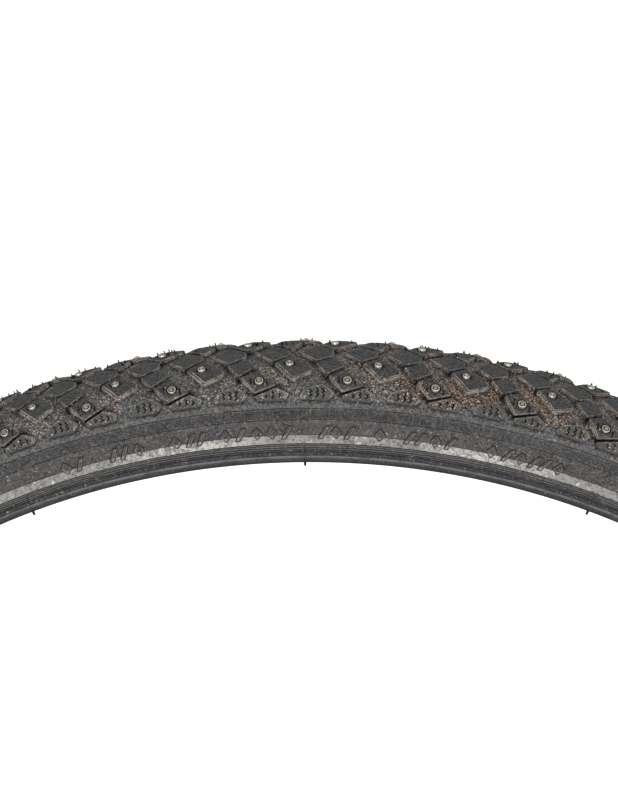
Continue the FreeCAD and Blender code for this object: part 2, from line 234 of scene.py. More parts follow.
def rounded(poly, radius, depths, n=2):
    """Corners cut by a short curve; depths is one value an edge."""
    out = []
    k = len(poly)
    for i in range(k):
        p, a, b = np.array(poly[i]), np.array(poly[i - 1]), np.array(poly[(i + 1) % k])
        da, db = a - p, b - p
        la, lb = np.hypot(*da), np.hypot(*db)
        c = min(radius, 0.3 * la, 0.3 * lb)
        q0, q1 = p + da / la * c, p + db / lb * c
        for j in range(n + 1):
            t = j / n
            q = (1 - t)**2 * q0 + 2 * t * (1 - t) * p + t * t * q1
            out.append((q[0], q[1], (1 - t) * depths[i - 1] + t * depths[i]))
    return out


class Sheet:
    """Points and constraint edges of one pitch, laid flat in mm."""

    def __init__(self):
        self.p, self.d, self.k, self.e = [], [], [], []

    def add(self, x, y, d, kind):
        self.p.append((float(x), float(y)))
        self.d.append(float(d))
        self.k.append(kind)
        return len(self.p) - 1

    def loop(self, pts, kind, closed=True):
        ids = [self.add(q[0], q[1], q[2], kind) for q in pts]
        for i in range(len(ids) if closed else len(ids) - 1):
            self.e.append((ids[i], ids[(i + 1) % len(ids)]))
        return ids


def inside(points, poly):
    x, y = points[:, 0], points[:, 1]
    c = np.zeros(len(points), bool)
    n = len(poly)
    for i in range(n):
        (x1, y1), (x2, y2) = poly[i][:2], poly[(i + 1) % n][:2]
        cond = (y1 > y) != (y2 > y)
        with np.errstate(divide="ignore", invalid="ignore"):
            xi = (x2 - x1) * (y - y1) / (y2 - y1) + x1
        c ^= cond & (x < xi)
    return c


def zigzag(x, s0, s1, amp, turns):
    """A wavy sipe running across the tread."""
    n = turns * 2 + 1
    ts = np.linspace(0.06, 0.94, n)
    run = [(x + (amp if i % 2 else -amp), s0 + (s1 - s0) * t) for i, t in enumerate(ts)]
    return [(run[0][0], s0)] + run + [(run[-1][0], s1)]


def sipe_loop(line, w):
    """Closed thin outline round an open line."""
    p = np.array(line, float)
    left, right = [], []
    for i in range(len(p)):
        a, b = p[max(i - 1, 0)], p[min(i + 1, len(p) - 1)]
        d = (b - a) / np.hypot(*(b - a))
        nrm = np.array([-d[1], d[0]])
        if i in (0, len(p) - 1):
            left.append(p[i])
            continue
        left.append(p[i] + nrm * w)
        right.append(p[i] - nrm * w)
    return left + right[::-1]


def block_span(poly, x):
    """s range of a block outline at x."""
    hit = []
    n = len(poly)
    for i in range(n):
        (x1, y1), (x2, y2) = poly[i][:2], poly[(i + 1) % n][:2]
        if (x1 > x) != (x2 > x):
            hit.append(y1 + (y2 - y1) * (x - x1) / (x2 - x1))
    return min(hit), max(hit)


def fitted(poly, x, a, c, amp, least):
    """A sipe at x shortened until it lies inside the outline, or None."""
    while c - a >= least:
        line = zigzag(x, a, c, amp, 2 if c - a > 2.4 else 1)
        q = np.array(sipe_loop(line, 0.34))
        ok = inside(q, poly)
        if ok.all():
            return line
        low = (q[:, 1] < (a + c) / 2) & ~ok
        a, c = (a + 0.12 if low.any() else a), (c - 0.12 if (~ok & ~low).any() else c)
    return None


def pitch_mesh():
    sh = Sheet()
    seam = [((p - 3.0) * UMM, -s) for p, s in reversed(PATH_B)] + [(p * UMM, s) for p, s in PATH_A[1:]]
    seam = refine(seam, closed=False, longest=3.0)
    P = 6 * UMM
    first = [sh.add(x, s, groove(s), "seam") for x, s in seam]
    other = [sh.add(x + P, s, groove(s), "seam") for x, s in seam]
    for row in (first, other):
        sh.e += list(zip(row[:-1], row[1:]))
    nedge = 12
    ends = []
    for a, b in ((first[0], other[0]), (first[-1], other[-1])):
        ids = [a]
        for i in range(1, nedge):
            x = sh.p[a][0] + (sh.p[b][0] - sh.p[a][0]) * i / nedge
            ids.append(sh.add(x, sh.p[a][1], groove(sh.p[a][1]), "edge"))
        ids.append(b)
        sh.e += list(zip(ids[:-1], ids[1:]))
        ends.append(ids)
    domain = [sh.p[i] for i in first] + [sh.p[i] for i in ends[1][1:-1]] + [sh.p[i] for i in reversed(other)] + [sh.p[i] for i in reversed(ends[0][1:-1])]

    blocks = []
    for k in (0, 3):
        blocks.append(("K", [((p + k) * UMM, s) for p, s in CROWN_BLOCK[0]], {}, 1))
    for side in (1, -1):
        for name, (poly, wide) in HALF_BLOCKS.items():
            for k in (-6, 0, 6, 12):
                pts = [((p + k + (0 if side > 0 else 3)) * UMM, side * s) for p, s in poly]
                c = np.mean(pts, 0)[None]
                if inside(c, domain)[0]:
                    blocks.append((name, pts, wide, side))
    studs = []
    sipes = []
    outlines = []
    for name, pts, wide, side in blocks:
        n = len(pts)
        w = [0.32] * n
        b = [0.22] * n
        for e, width in wide.items():
            w[e], b[e] = width, 0.25 + 0.6 * width
        inner = offset(pts, w)
        foot = offset(pts, [-0.38] * n)
        floor = [0.0] * n
        cut = 0.3 if name in ("L1", "L2") else 0.55
        sh.loop(refine(rounded(offset(pts, [x + 0.3 for x in w]), cut - 0.1, floor)), "top")
        sh.loop(refine(rounded(inner, cut, floor)), "lip")
        sh.loop(refine(rounded(pts, cut + 0.15, b)), "rim")
        fl = [(x, s, groove(s)) for x, s, _ in rounded(foot, 1.0, floor)]
        fl = [(x, s, groove(s)) for x, s, _ in refine(fl)]
        sh.loop(fl, "foot")
        outlines.append([np.array(q) for q in pts])
        cx = np.mean([q[0] for q in pts])
        if name in "AB":
            ph, ss = STUDS["outer" if name == "A" else "inner"]
            base = (ph + (0 if side > 0 else 3)) * UMM
            base += P * round((cx - base) / P)
            studs.append((base, side * ss))
            for rr, dd in ((2.25, 0.0), (1.95, 1.1)):
                ring = [(base + rr * math.cos(a), side * ss + rr * math.sin(a), dd) for a in np.arange(14) * TAU / 14]
                sh.loop(ring, "hole")
        if name == "A":
            lipped = offset(pts, [q + 0.3 for q in w])
            for dx in (-3.5, 3.3):
                x = base + dx
                span = [block_span(lipped, x + q) for q in (-0.5, 0, 0.5)]
                a, c = max(q[0] for q in span) + 0.15, min(q[1] for q in span) - 0.15
                mid = min(max(side * ss + 0.3 * side, a + 1.9), c - 1.9)
                a, c = max(a, mid - 1.9), min(c, mid + 1.9)
                line = fitted(rounded(offset(pts, [q + 0.42 for q in w]), 0.45, floor), x, a, c, 0.3, 1.4)
                if line:
                    sipes.append(line)
        if name in ("L1", "L2"):
            right = max(q[0] for q in pts)
            for dphi in ((0.79, 1.2, 1.66, 2.06) if name == "L1" else (0.60, 1.04, 1.52, 1.96)):
                x = right - dphi * UMM
                lipped = offset(pts, [q + 0.3 for q in w])
                if x < min(q[0] for q in lipped) + 0.85 or x > max(q[0] for q in lipped) - 0.85:
                    continue
                a, c = block_span(lipped, x)
                span = [block_span(lipped, x - 0.8), block_span(lipped, x + 0.8)]
                a, c = max(a, span[0][0], span[1][0]), min(c, span[0][1], span[1][1])
                if c - a < 1.3:
                    continue
                line = fitted(rounded(offset(pts, [q + 0.42 for q in w]), 0.45, floor), x, a + 0.12, c - 0.12, 0.42, 1.1)
                if line:
                    sipes.append(line)
    for line in sipes:
        sh.loop([(q[0], q[1], 0.0) for q in sipe_loop(line, 0.34)], "top")
        mid = [sh.add(q[0], q[1], 1.7, "slit") for q in line[1:-1]]
        sh.e += list(zip(mid[:-1], mid[1:]))

    # points to carry the curve where nothing else does
    fixed = np.array(sh.p)
    seg_a = np.array([sh.p[i] for i, _ in sh.e])
    seg_b = np.array([sh.p[j] for _, j in sh.e])
    xs0, xs1 = fixed[:, 0].min(), fixed[:, 0].max()
    s = -EDGE + 1.2
    row = 0
    cand = []
    while s < EDGE - 1.0:
        h = 3.4 if abs(s) < 17 else 2.0
        x = xs0 + (row % 2) * 2.0
        while x < xs1:
            cand.append((x + rng.uniform(-0.4, 0.4), s + rng.uniform(-0.2, 0.2)))
            x += 4.0
        s += h
        row += 1
    cand = np.array(cand)
    cand = cand[inside(cand, domain)]
    ab = seg_b - seg_a
    L = (ab**2).sum(1)
    t = np.clip(((cand[:, None] - seg_a[None]) * ab[None]).sum(2) / L[None], 0, 1)
    dist = np.sqrt((((seg_a[None] + ab[None] * t[..., None]) - cand[:, None])**2).sum(2)).min(1)
    cand = cand[dist > 0.95]
    top = np.zeros(len(cand), bool)
    near = np.full(len(cand), 9.0)
    for o in outlines:
        top |= inside(cand, o)
    for (x, s), is_top in zip(cand, top):
        sh.add(x, s, 0.0 if is_top else groove(s), "fill_top" if is_top else "fill_floor")

    res = delaunay_2d_cdt([Vector(p) for p in sh.p], sh.e, [], 0, 1e-6, True)
    out_v, out_f, orig = res[0], res[2], res[3]
    ids = []
    for i, o in enumerate(orig):
        if not o:
            raise RuntimeError("tread outlines cross at %s" % (tuple(out_v[i]),))
        ids.append(o[0])
    tri = np.array([[ids[i] for i in f] for f in out_f])
    pts = np.array(sh.p)
    cen = pts[tri].mean(1)
    tri = tri[inside(cen, domain)]
    # no slivers along the straight domain edges
    a, b, c = pts[tri[:, 0]], pts[tri[:, 1]], pts[tri[:, 2]]
    area = 0.5 * ((b[:, 0] - a[:, 0]) * (c[:, 1] - a[:, 1]) - (c[:, 0] - a[:, 0]) * (b[:, 1] - a[:, 1]))
    tri = tri[np.abs(area) > 1e-7]
    area = area[np.abs(area) > 1e-7]
    tri[area < 0] = tri[area < 0][:, ::-1]
    return sh, tri, first, other, ends, outlines


sh, tri, first, other, ends, outlines = pitch_mesh()
pts = np.array(sh.p)
dep = np.array(sh.d)
kind = np.array(sh.k)
# shades carried by the mesh: how deep a point lies, whether it is on an edge (for the painted edge highlights), and
# where painted shade goes in sipes, stud holes and narrow grooves
cav = np.select([np.isin(kind, ["foot", "seam", "edge", "fill_floor"]), kind == "rim", kind == "slit"], [1.0, 0.30, 0.9], 0.0)
rim = np.select([kind == "rim", kind == "lip"], [1.0, 0.6], 0.0)
rim[np.abs(pts[:, 1]) > 31.0] *= 0.3
rim[(kind == "lip") & (np.abs(pts[:, 1]) > 30.0)] = 0.3
# painted shade: sipe bottoms and stud holes go near black, the top ring of each hole only a little
slit = np.where(np.isin(kind, ["slit", "hole"]), 1.0, 0.0)
slit[(kind == "hole") & (dep < 0.5)] = 0.22
seg = np.concatenate([np.stack([np.array(o), np.roll(np.array(o), -1, 0)], 1) for o in outlines])
P6 = 6 * UMM
owner = np.concatenate([np.full(len(o), i) for i, o in enumerate(outlines)])
wide = np.zeros(len(pts))
# painted_shade: the tighter the groove between two blocks, the more painted shade it gets
painted_shade = np.zeros(len(pts))
for i in np.where((cav > 0.95) | (kind == "rim"))[0]:
    gaps = {}
    for shift in (-P6, 0, P6):
        a, b = seg[:, 0] + [shift, 0], seg[:, 1] + [shift, 0]
        ab = b - a
        t = np.clip(((pts[i] - a) * ab).sum(1) / (ab**2).sum(1), 0, 1)
        d = np.hypot(*((a + ab * t[:, None]) - pts[i]).T)
        for n_ in range(len(outlines)):
            gaps[(n_, shift)] = d[owner == n_].min()
    near = sorted(gaps.values())
    if kind[i] != "rim":
        wide[i] = min(1.0, max(0.0, (near[0] - 0.9) / 1.8))
    painted_shade[i] = min(1.0, max(0.0, (2.9 - near[0] - near[1]) / 0.9))
# painted shade under the lugs, along their lower lip and foot
painted_shade[(kind == "rim") & (np.abs(pts[:, 1]) > 30.9)] = 0.45
painted_shade[(kind == "foot") & (np.abs(pts[:, 1]) > 31.2)] = 0.6
# grit lies in the grooves, less on the tops, and thins out here and there
CLEAN = {1: rng.uniform(0.1, 0.9, PITCHES), -1: rng.uniform(0.1, 0.9, PITCHES)}
CLEAN[1][0] = 0.97
SOIL_AT = [(11.0, 7.0, 1.0), (95.0, 16.0, 0.7), (170.0, 12.0, 0.8), (232.0, 20.0, 0.6), (300.0, 10.0, 0.8)]


def soil(phi, s):
    """Stretches where brown earth has stuck to the shoulder."""
    v = np.zeros(len(phi))
    for at, wide_, amount in SOIL_AT:
        d = (phi - at + 180) % 360 - 180
        v = np.maximum(v, amount * np.exp(-(d / wide_)**2))
    return v * np.interp(np.abs(s), [0, 8, 20, 30, 33], [0.35, 0.5, 0.9, 1.0, 0.4])


def grit_share(phi, s, kinds):
    half = np.where(s >= 0, 0.0, 3.0)
    a = np.abs(s)
    g = phi - half + 0.75
    n_ = np.round(g / 6).astype(int) % PITCHES
    amp = np.where(s >= 0, CLEAN[1][n_], CLEAN[-1][n_])
    off = g - 6 * np.round(g / 6)
    zone = 1 - amp * np.exp(-(off / 1.15)**2 - ((a - 21.8) / 3.8)**2)
    foot = np.isin(kinds, ["foot", "seam", "edge", "fill_floor"])
    low = np.interp(a, [0, 12, 20, 27, 29, 31, 33], [0.6, 0.85, 1.0, 1.0, 0.4, 0.15, 0.08])
    top = np.interp(a, [0, 12, 17, 20, 24, 27, 30, 31], [0.03, 0.04, 0.05, 0.18, 0.20, 0.42, 0.42, 0.08])
    edge = np.interp(a, [0, 15, 25, 30, 31], [0.35, 0.45, 0.5, 0.4, 0.1])
    top = np.minimum(1.0, top + 0.30 * soil(phi, s) * (a > 18))
    return zone * np.where(foot, low, np.where(np.isin(kinds, ["rim", "lip"]), edge, top))


same = {o: f for f, o in zip(first, other)}
keep = [i for i in range(len(pts)) if i not in same]
new = {old: j for j, old in enumerate(keep)}
nloc = len(keep)
all_v, all_attr = [], {"cav": [], "rim": [], "wide": [], "slit": [], "painted_shade": [], "grit": [], "soil": []}
loc = pts[keep]
for k in range(PITCHES):
    jit = rng.normal(0, 0.03, nloc)
    all_v.append(tread_points(loc[:, 0] / UMM + 6 * k, loc[:, 1], dep[keep] + jit * (kind[keep] == "rim")))
    all_attr["cav"].append(cav[keep])
    all_attr["rim"].append(rim[keep])
    all_attr["wide"].append(wide[keep])
    all_attr["slit"].append(slit[keep])
    all_attr["painted_shade"].append(painted_shade[keep])
    all_attr["soil"].append(soil(loc[:, 0] / UMM + 6 * k, loc[:, 1]))
    all_attr["grit"].append(grit_share(loc[:, 0] / UMM + 6 * k, loc[:, 1], kind[keep]))


def gid(i, k):
    if i in same:
        return ((k + 1) % PITCHES) * nloc + new[same[i]]
    return k * nloc + new[i]


local = np.array([[new[same[i]] + (1 << 30) if i in same else new[i] for i in t] for t in tri], np.int64)
faces = []
for k in range(PITCHES):
    nxt = local >= (1 << 30)
    faces.append(np.where(nxt, ((k + 1) % PITCHES) * nloc + (local - (1 << 30)), k * nloc + local))
faces = np.concatenate(faces)
verts = np.concatenate(all_v)
# the side facing out: a triangle anticlockwise in (round, s) faces inward on this frame
v0, v1, v2 = verts[faces[0]]
nrm = np.cross(v1 - v0, v2 - v0)
if np.dot(nrm, [v0[0], 0, v0[2]]) < 0:
    faces = faces[:, ::-1]
# underside, where the tread sits on the casing
UNDER = [(-22.75, 337.3), (-21.3, 340.7), (-18.1, 343.8), (-13.15, 345.2), (-6.9, 346.2), (0, 346.4),
         (6.9, 346.2), (13.15, 345.2), (18.1, 343.8), (21.3, 340.7), (22.75, 337.3)]
rings = []
ncol = PITCHES * 12
for y, r in UNDER:
    t = np.arange(ncol) * TAU / ncol
    base = len(verts) + sum(len(x) for x in rings)
    rings.append(np.stack([r * np.sin(t), np.full(ncol, y), r * np.cos(t)], -1) * MM)
under_first = len(verts)
verts = np.concatenate([verts] + rings)
coarse = []
for i in range(len(UNDER) - 1):
    for j in range(0, ncol):
        a, b = under_first + i * ncol + j, under_first + i * ncol + (j + 1) % ncol
        c, d = under_first + (i + 1) * ncol + (j + 1) % ncol, under_first + (i + 1) * ncol + j
        coarse.append((a, b, c))
        coarse.append((a, c, d))
# rims: join each tread edge row to the nearest underside ring
for end, ring_no in ((ends[1], 0), (ends[0], len(UNDER) - 1)):
    row = []
    for k in range(PITCHES):
        row += [gid(i, k) for i in end[:-1]]
    ang = np.array([math.atan2(verts[i][0], verts[i][2]) % TAU for i in row])
    start = int(np.argmin(ang))
    row = row[start:] + row[:start]
    ringv = [under_first + ring_no * ncol + j for j in range(ncol)]
    for j in range(ncol):
        a, b = row[j], row[(j + 1) % ncol]
        c, d = ringv[(j + 1) % ncol], ringv[j]
        coarse.append((a, b, c))
        coarse.append((a, c, d))
coarse = np.array(coarse)
faces = np.concatenate([faces, coarse])
extra = len(verts) - len(all_v) * nloc
attrs = {k: np.concatenate(v + [np.zeros(extra)]) for k, v in all_attr.items()}
tread = add_mesh("tread_rubber_block", verts, faces, attrs=attrs)
bm = bmesh.new()
bm.from_mesh(tread.data)
bmesh.ops.recalc_face_normals(bm, faces=bm.faces)
bad = [e for e in bm.edges if len(e.link_faces) != 2]
print("tread", len(bm.verts), len(bm.faces), "open edges", len(bad), "volume mm3", bm.calc_volume(signed=True) * 1e9)
bm.to_mesh(tread.data)
bm.free()
tread.data.set_sharp_from_angle(angle=math.radians(32))

# ------------------------------------------------------------------ sidewalls
# outside of the right sidewall from the tread edge to the bead: (y, r, shade),
# shade 1 marks the dark lines of painted shade in the grooves, 2 the hatched band and 3 painted highlights on the rib
# crests
SKIN_TOP = [(24.53, 337.96, 0), (24.50, 337.5, 0), (24.56, 336.9, 0), (24.62, 336.35, 0), (24.60, 336.1, 1), (24.42, 335.98, 1),
            (24.44, 335.86, 1), (24.66, 335.72, 0), (24.60, 335.45, 2)]
HATCH_TOP, HATCH_FOOT = 335.45, 331.35
SKIN_LOW = [(24.42, 331.35, 2), (24.46, 331.2, 0), (24.28, 331.08, 1), (24.30, 330.96, 1), (24.50, 330.82, 0), (24.36, 330.5, 0),
            (24.10, 329.3, 0), (23.76, 327.9, 0), (23.38, 326.4, 0), (22.98, 325.1, 0), (22.62, 324.0, 0), (22.38, 323.25, 0),
            (22.20, 323.12, 1), (22.02, 323.1, 1), (21.60, 319.0, 1), (21.72, 318.94, 1), (21.98, 318.86, 1), (22.14, 318.66, 3),
            (22.17, 318.42, 0), (22.09, 318.24, 1), (22.06, 318.04, 1), (22.17, 317.86, 3), (22.19, 317.52, 0), (22.10, 317.36, 1),
            (22.06, 317.08, 1), (22.24, 316.96, 3), (22.28, 316.74, 3), (22.20, 316.60, 1), (22.22, 316.40, 1), (22.36, 316.24, 0),
            (22.42, 315.88, 0), (22.33, 315.72, 1), (22.35, 315.42, 1), (22.54, 315.28, 0), (22.66, 315.02, 0), (22.84, 314.68, 0),
            (23.02, 314.42, 0), (23.10, 314.2, 1)]
SKIN_BACK = [(22.75, 314.2), (21.0, 317.0), (21.1, 319.0), (21.7, 322.3), (22.6, 326.0), (23.35, 329.5),
             (23.3, 333.0), (22.75, 337.27)]
MAIN, FINE = 480, 5760


def sidewall(name, side):
    """Revolved rubber with a band of fine ribs cut across it."""
    rows = []          # (y, r, shade, columns)
    for y, r, m in SKIN_TOP:
        rows.append((y, r, m, MAIN))
    hatch = [(24.60, 335.44, 2), (24.60, 335.25, 2), (24.50, 333.4, 2), (24.42, 331.55, 2), (24.42, 331.36, 2)]
    for y, r, m in hatch:
        rows.append((y, r, m, FINE))
    for y, r, m in SKIN_LOW:
        rows.append((y, r, m, MAIN))
    for y, r in SKIN_BACK:
        rows.append((y, r, 0, MAIN))
    verts, starts, dark, ridge, low, crest = [], [], [], [], [], []
    for i, (y, r, m, cols) in enumerate(rows):
        starts.append(sum(len(v) for v in verts))
        t = np.arange(cols) * TAU / cols
        yy = np.full(cols, y)
        up = np.zeros(cols)
        if cols == FINE and 335.3 > r > 331.5:
            up = np.where(np.arange(cols) % 2 == 0, 0.16, -0.10)
            fade = 0.62 + 0.38 * np.sin(3 * t + 1.0) * np.sin(7 * t + 2.0)
            yy = yy + up * np.clip(fade, 0.25, 1.0)
        verts.append(np.stack([r * np.sin(t), yy * side, r * np.cos(t)], -1) * MM)
        # painted shade: the dark lines of the section and the troughs of the hatching; crest rows carry painted
        # highlights
        dark.append(np.full(cols, 1.0 if m == 1 else 0.0) + np.where(up < 0, 0.8, 0.0))
        ridge.append(np.full(cols, 1.0 if m == 2 else 0.0))
        low.append(np.full(cols, 1.0 if r < 317.2 else 0.0))
        crest.append(np.full(cols, 1.0 if m == 3 else 0.0))
    faces = []
    n = len(rows)
    for i in range(n):
        j = (i + 1) % n
        a, b, ca, cb = starts[i], starts[j], rows[i][3], rows[j][3]
        if ca == cb:
            k = np.arange(ca)
            k2 = (k + 1) % ca
            faces += np.stack([a + k, a + k2, b + k2, b + k], -1).tolist()
        else:
            big, small, nb, ns = (a, b, ca, cb) if ca > cb else (b, a, cb, ca)
            q = nb // ns
            for k in range(ns):
                s0, s1 = small + k, small + (k + 1) % ns
                run = [big + (k * q + m) % nb for m in range(q + 1)]
                h = q // 2
                for m in range(q):
                    faces.append((run[m], run[m + 1], s0 if m < h else s1))
                faces.append((s0, run[h], s1))
    verts = np.concatenate(verts)
    ob = add_mesh(name, verts, faces, attrs={"dark": np.concatenate(dark), "hatch": np.concatenate(ridge), "low": np.concatenate(low),
                                          "crest": np.concatenate(crest)})
    mend(ob, 28)
    return ob


def mend(ob, angle):
    bm = bmesh.new()
    bm.from_mesh(ob.data)
    bmesh.ops.recalc_face_normals(bm, faces=bm.faces)
    bad = sum(1 for e in bm.edges if len(e.link_faces) != 2)
    if bad:
        print("open edges", ob.name, bad)
    if bm.calc_volume(signed=True) < 0:
        bmesh.ops.reverse_faces(bm, faces=bm.faces)
    bm.to_mesh(ob.data)
    bm.free()
    ob.data.set_sharp_from_angle(angle=math.radians(angle))


def ring_piece(name, section, cols=480, attrs=None, angle=35):
    ob = turned(name, section, cols=cols, attrs=attrs)
    mend(ob, angle)
    return ob


sidewalls = {tag: sidewall("sidewall_%s_skin" % tag, sd) for tag, sd in (("left", -1), ("right", 1))}

# reflective strips, lying in their recess
strips = {}
for tag, sd in (("left", -1), ("right", 1)):
    face = [(22.05 + 0.30, 323.02), (22.44, 322.85), (22.36, 322.0), (22.28, 321.0), (22.20, 320.2), (22.12, 319.5), (22.06, 319.22), (21.93, 319.07)]
    back = [(21.64, 319.06), (21.84, 321.0), (22.05, 323.0)]
    sec = [(y * sd, r) for y, r in face + back]
    strips[tag] = ring_piece("reflective_strip_%s_tape" % tag, sec, cols=720, angle=30)

# chafers round the beads
chafers = {}
for tag, sd in (("left", -1), ("right", 1)):
    out = [(23.10, 314.2), (23.16, 314.05), (23.14, 313.94), (23.22, 313.8), (23.36, 313.55), (23.50, 313.1), (23.55, 312.6),
           (23.54, 312.0), (23.50, 311.5), (23.34, 311.12), (23.0, 310.94), (22.4, 310.96), (19.4, 311.0), (18.9, 311.08), (18.6, 311.3),
           (18.45, 311.7), (18.4, 312.3), (18.42, 313.6), (18.5, 314.5), (18.65, 315.0), (18.9, 315.2), (19.0, 315.1)]
    inn = [(19.0, 311.6), (22.8, 311.6), (22.8, 314.2)]
    # painted shade (dark) in the groove above the bead and under its outer rounding; painted highlight (crest) along
    # its upper rounding
    shade = [0.9, 0.6, 0, 0] + [0] * 3 + [0.35, 0.95, 1, 1, 1] + [0] * (len(out) - 12) + [0] * 3
    lit = [0.1, 0.2, 0.9, 1.0, 0.7, 0.15] + [0] * (len(out) - 6) + [0] * 3
    chafers[tag] = ring_piece("chafer_%s_bead" % tag, [(y * sd, r) for y, r in out + inn], cols=480, attrs={"dark": shade, "crest": lit}, angle=40)

# casing plies and breaker, as smooth shells round the cavity
CAV = [(0.0, 345.2), (7.0, 345.0), (13.0, 344.2), (17.5, 342.6), (20.4, 340.1), (21.9, 337.0), (22.4, 333.0), (22.1, 329.5),
       (21.3, 326.0), (20.4, 322.3), (19.8, 319.0), (19.2, 316.9), (19.0, 315.4)]
mirror = [(-y, r) for y, r in reversed(CAV[1:])] + CAV
cav = catmull(mirror, 3)
tan = np.gradient(cav, axis=0)
tan /= np.hypot(*tan.T)[:, None]
out_n = np.stack([-tan[:, 1], tan[:, 0]], -1)
arc = np.concatenate([[0], np.cumsum(np.hypot(*np.diff(cav, axis=0).T))])
arc -= arc[len(arc) // 2]


def shell(name, a, b, first=0, last=None):
    last = len(cav) if last is None else last
    ins = cav[first:last] + out_n[first:last] * a
    outs = cav[first:last] + out_n[first:last] * b
    sec = np.concatenate([ins, outs[::-1]])
    ar = np.concatenate([arc[first:last], arc[first:last][::-1]])
    return ring_piece(name, sec, cols=360, attrs={"arc": ar}, angle=40)


m = len(cav)
ply_in = shell("casing_ply_inner_shell", 0.0, 0.38)
ply_out = shell("casing_ply_outer_shell", 0.42, 0.80, 3, m - 3)
belt = shell("puncture_belt_shell", 0.84, 1.26, m // 2 - 7, m // 2 + 8)


# ------------------------------------------------------------------ studs
def lathe_set(name, profile, row, segs):
    """Copies of a turned part along one stud row. profile: (distance along the stud, radius)."""
    phi0, y0, r0, tilt = row
    base_v, base_f = [], []
    k = len(profile)
    a = np.arange(segs) * TAU / segs
    for h, rad in profile:
        base_v.append(np.stack([rad * np.cos(a), rad * np.sin(a), np.full(segs, h)], -1))
    base_v = np.concatenate(base_v + [np.array([[0, 0, profile[0][0]], [0, 0, profile[-1][0]]])])
    for i in range(k - 1):
        for j in range(segs):
            j2 = (j + 1) % segs
            base_f.append((i * segs + j, i * segs + j2, (i + 1) * segs + j2, (i + 1) * segs + j))
    c0, c1 = k * segs, k * segs + 1
    for j in range(segs):
        j2 = (j + 1) % segs
        base_f.append((c0, j2, j))
        base_f.append((c1, (k - 1) * segs + j, (k - 1) * segs + j2))
    vs, fs, tone, seat = [], [], [], []
    # painted shade: the cup round the pin near black
    deep = np.repeat([1.0 if i >= k - 2 and rad > 0.95 else (0.35 if i == k - 3 and rad > 0.95 else 0.0) for i, (h, rad) in enumerate(profile)], segs)
    deep = np.concatenate([deep, [0.0, 0.0]])
    for n in range(PITCHES):
        phi = math.radians(phi0 + 6 * n)
        tl = math.radians(tilt + rng.normal(0, 1.2))
        lean = math.radians(rng.normal(0, 1.2))
        sgn = 1 if y0 > 0 else -1
        radial = np.array([math.sin(phi), 0, math.cos(phi)])
        axis = radial * math.cos(tl) + np.array([0, sgn, 0]) * math.sin(tl)
        round_ = np.array([math.cos(phi), 0, -math.sin(phi)])
        axis = axis * math.cos(lean) + round_ * math.sin(lean)
        u = np.cross(axis, [0, 1, 0])
        u /= np.linalg.norm(u)
        w = np.cross(axis, u)
        spin = rng.uniform(0, TAU)
        cs, sn = math.cos(spin), math.sin(spin)
        uu, ww = u * cs + w * sn, w * cs - u * sn
        at = radial * r0 + np.array([0, y0, 0])
        sink = rng.normal(0, 0.06)
        p = at + base_v[:, :1] * uu + base_v[:, 1:2] * ww + (base_v[:, 2:3] + sink) * axis
        off = n * len(base_v)
        vs.append(p * MM)
        fs += [tuple(off + i for i in f) for f in base_f]
        tone.append(np.full(len(base_v), rng.uniform(0, 1)))
        seat.append(deep)
    ob = add_mesh(name, np.concatenate(vs), fs, attrs={"tone": np.concatenate(tone), "seat": np.concatenate(seat)})
    mend(ob, 35)
    return ob


ROWS = {"outer_left": (1.866, -21.7, 347.6, 29.0), "inner_left": (3.908, -11.25, 350.45, 7.0),
        "inner_right": (6.908, 11.25, 350.45, 7.0), "outer_right": (4.866, 21.7, 347.6, 29.0)}
BODY = [(-4.1, 0.6), (-4.1, 2.9), (-3.95, 3.1), (-3.5, 3.1), (-3.3, 2.7), (-3.0, 1.95), (-2.4, 1.7), (-0.6, 1.72), (0.12, 1.76),
        (0.36, 1.70), (0.46, 1.54), (0.43, 1.34), (0.22, 1.20), (-0.1, 1.0)]
PIN = [(-2.2, 0.6), (-2.2, 0.92), (0.52, 0.92), (0.74, 0.86), (0.86, 0.72), (0.90, 0.52), (0.87, 0.30)]
BODY_IN = [(-4.1, 0.6), (-4.1, 2.9), (-3.95, 3.1), (-3.5, 3.1), (-3.3, 2.7), (-3.0, 1.9), (-2.4, 1.62), (-0.6, 1.62), (0.3, 1.60),
           (0.62, 1.52), (0.80, 1.42), (0.80, 1.28), (0.55, 1.16), (0.2, 1.0)]
PIN_IN = [(-2.2, 0.6), (-2.2, 0.90), (0.85, 0.90), (1.06, 0.83), (1.18, 0.68), (1.22, 0.48), (1.20, 0.25)]
bodies = {k: lathe_set("stud_bodies_%s_turned" % k, BODY if "outer" in k else BODY_IN, v, 20) for k, v in ROWS.items()}
pins = {k: lathe_set("stud_pins_%s_turned" % k, PIN if "outer" in k else PIN_IN, v, 16) for k, v in ROWS.items()}


# ------------------------------------------------------------------ small rubber trim
def wall_y(r):
    """Outside of the sidewall and strip at radius r."""
    tab = [(337.96, 24.53), (335.6, 24.6), (331.2, 24.45), (330.5, 24.36), (327.9, 23.76), (326.4, 23.38), (325.1, 22.98), (324.0, 22.62), (323.1, 22.44),
           (321.0, 22.28), (318.8, 22.02), (317.0, 22.3), (315.0, 22.85), (314.0, 23.1), (313.1, 23.5), (312.0, 23.5), (311.0, 23.0)]
    tab = tab[::-1]
    return np.interp(r, [t[0] for t in tab], [t[1] for t in tab])


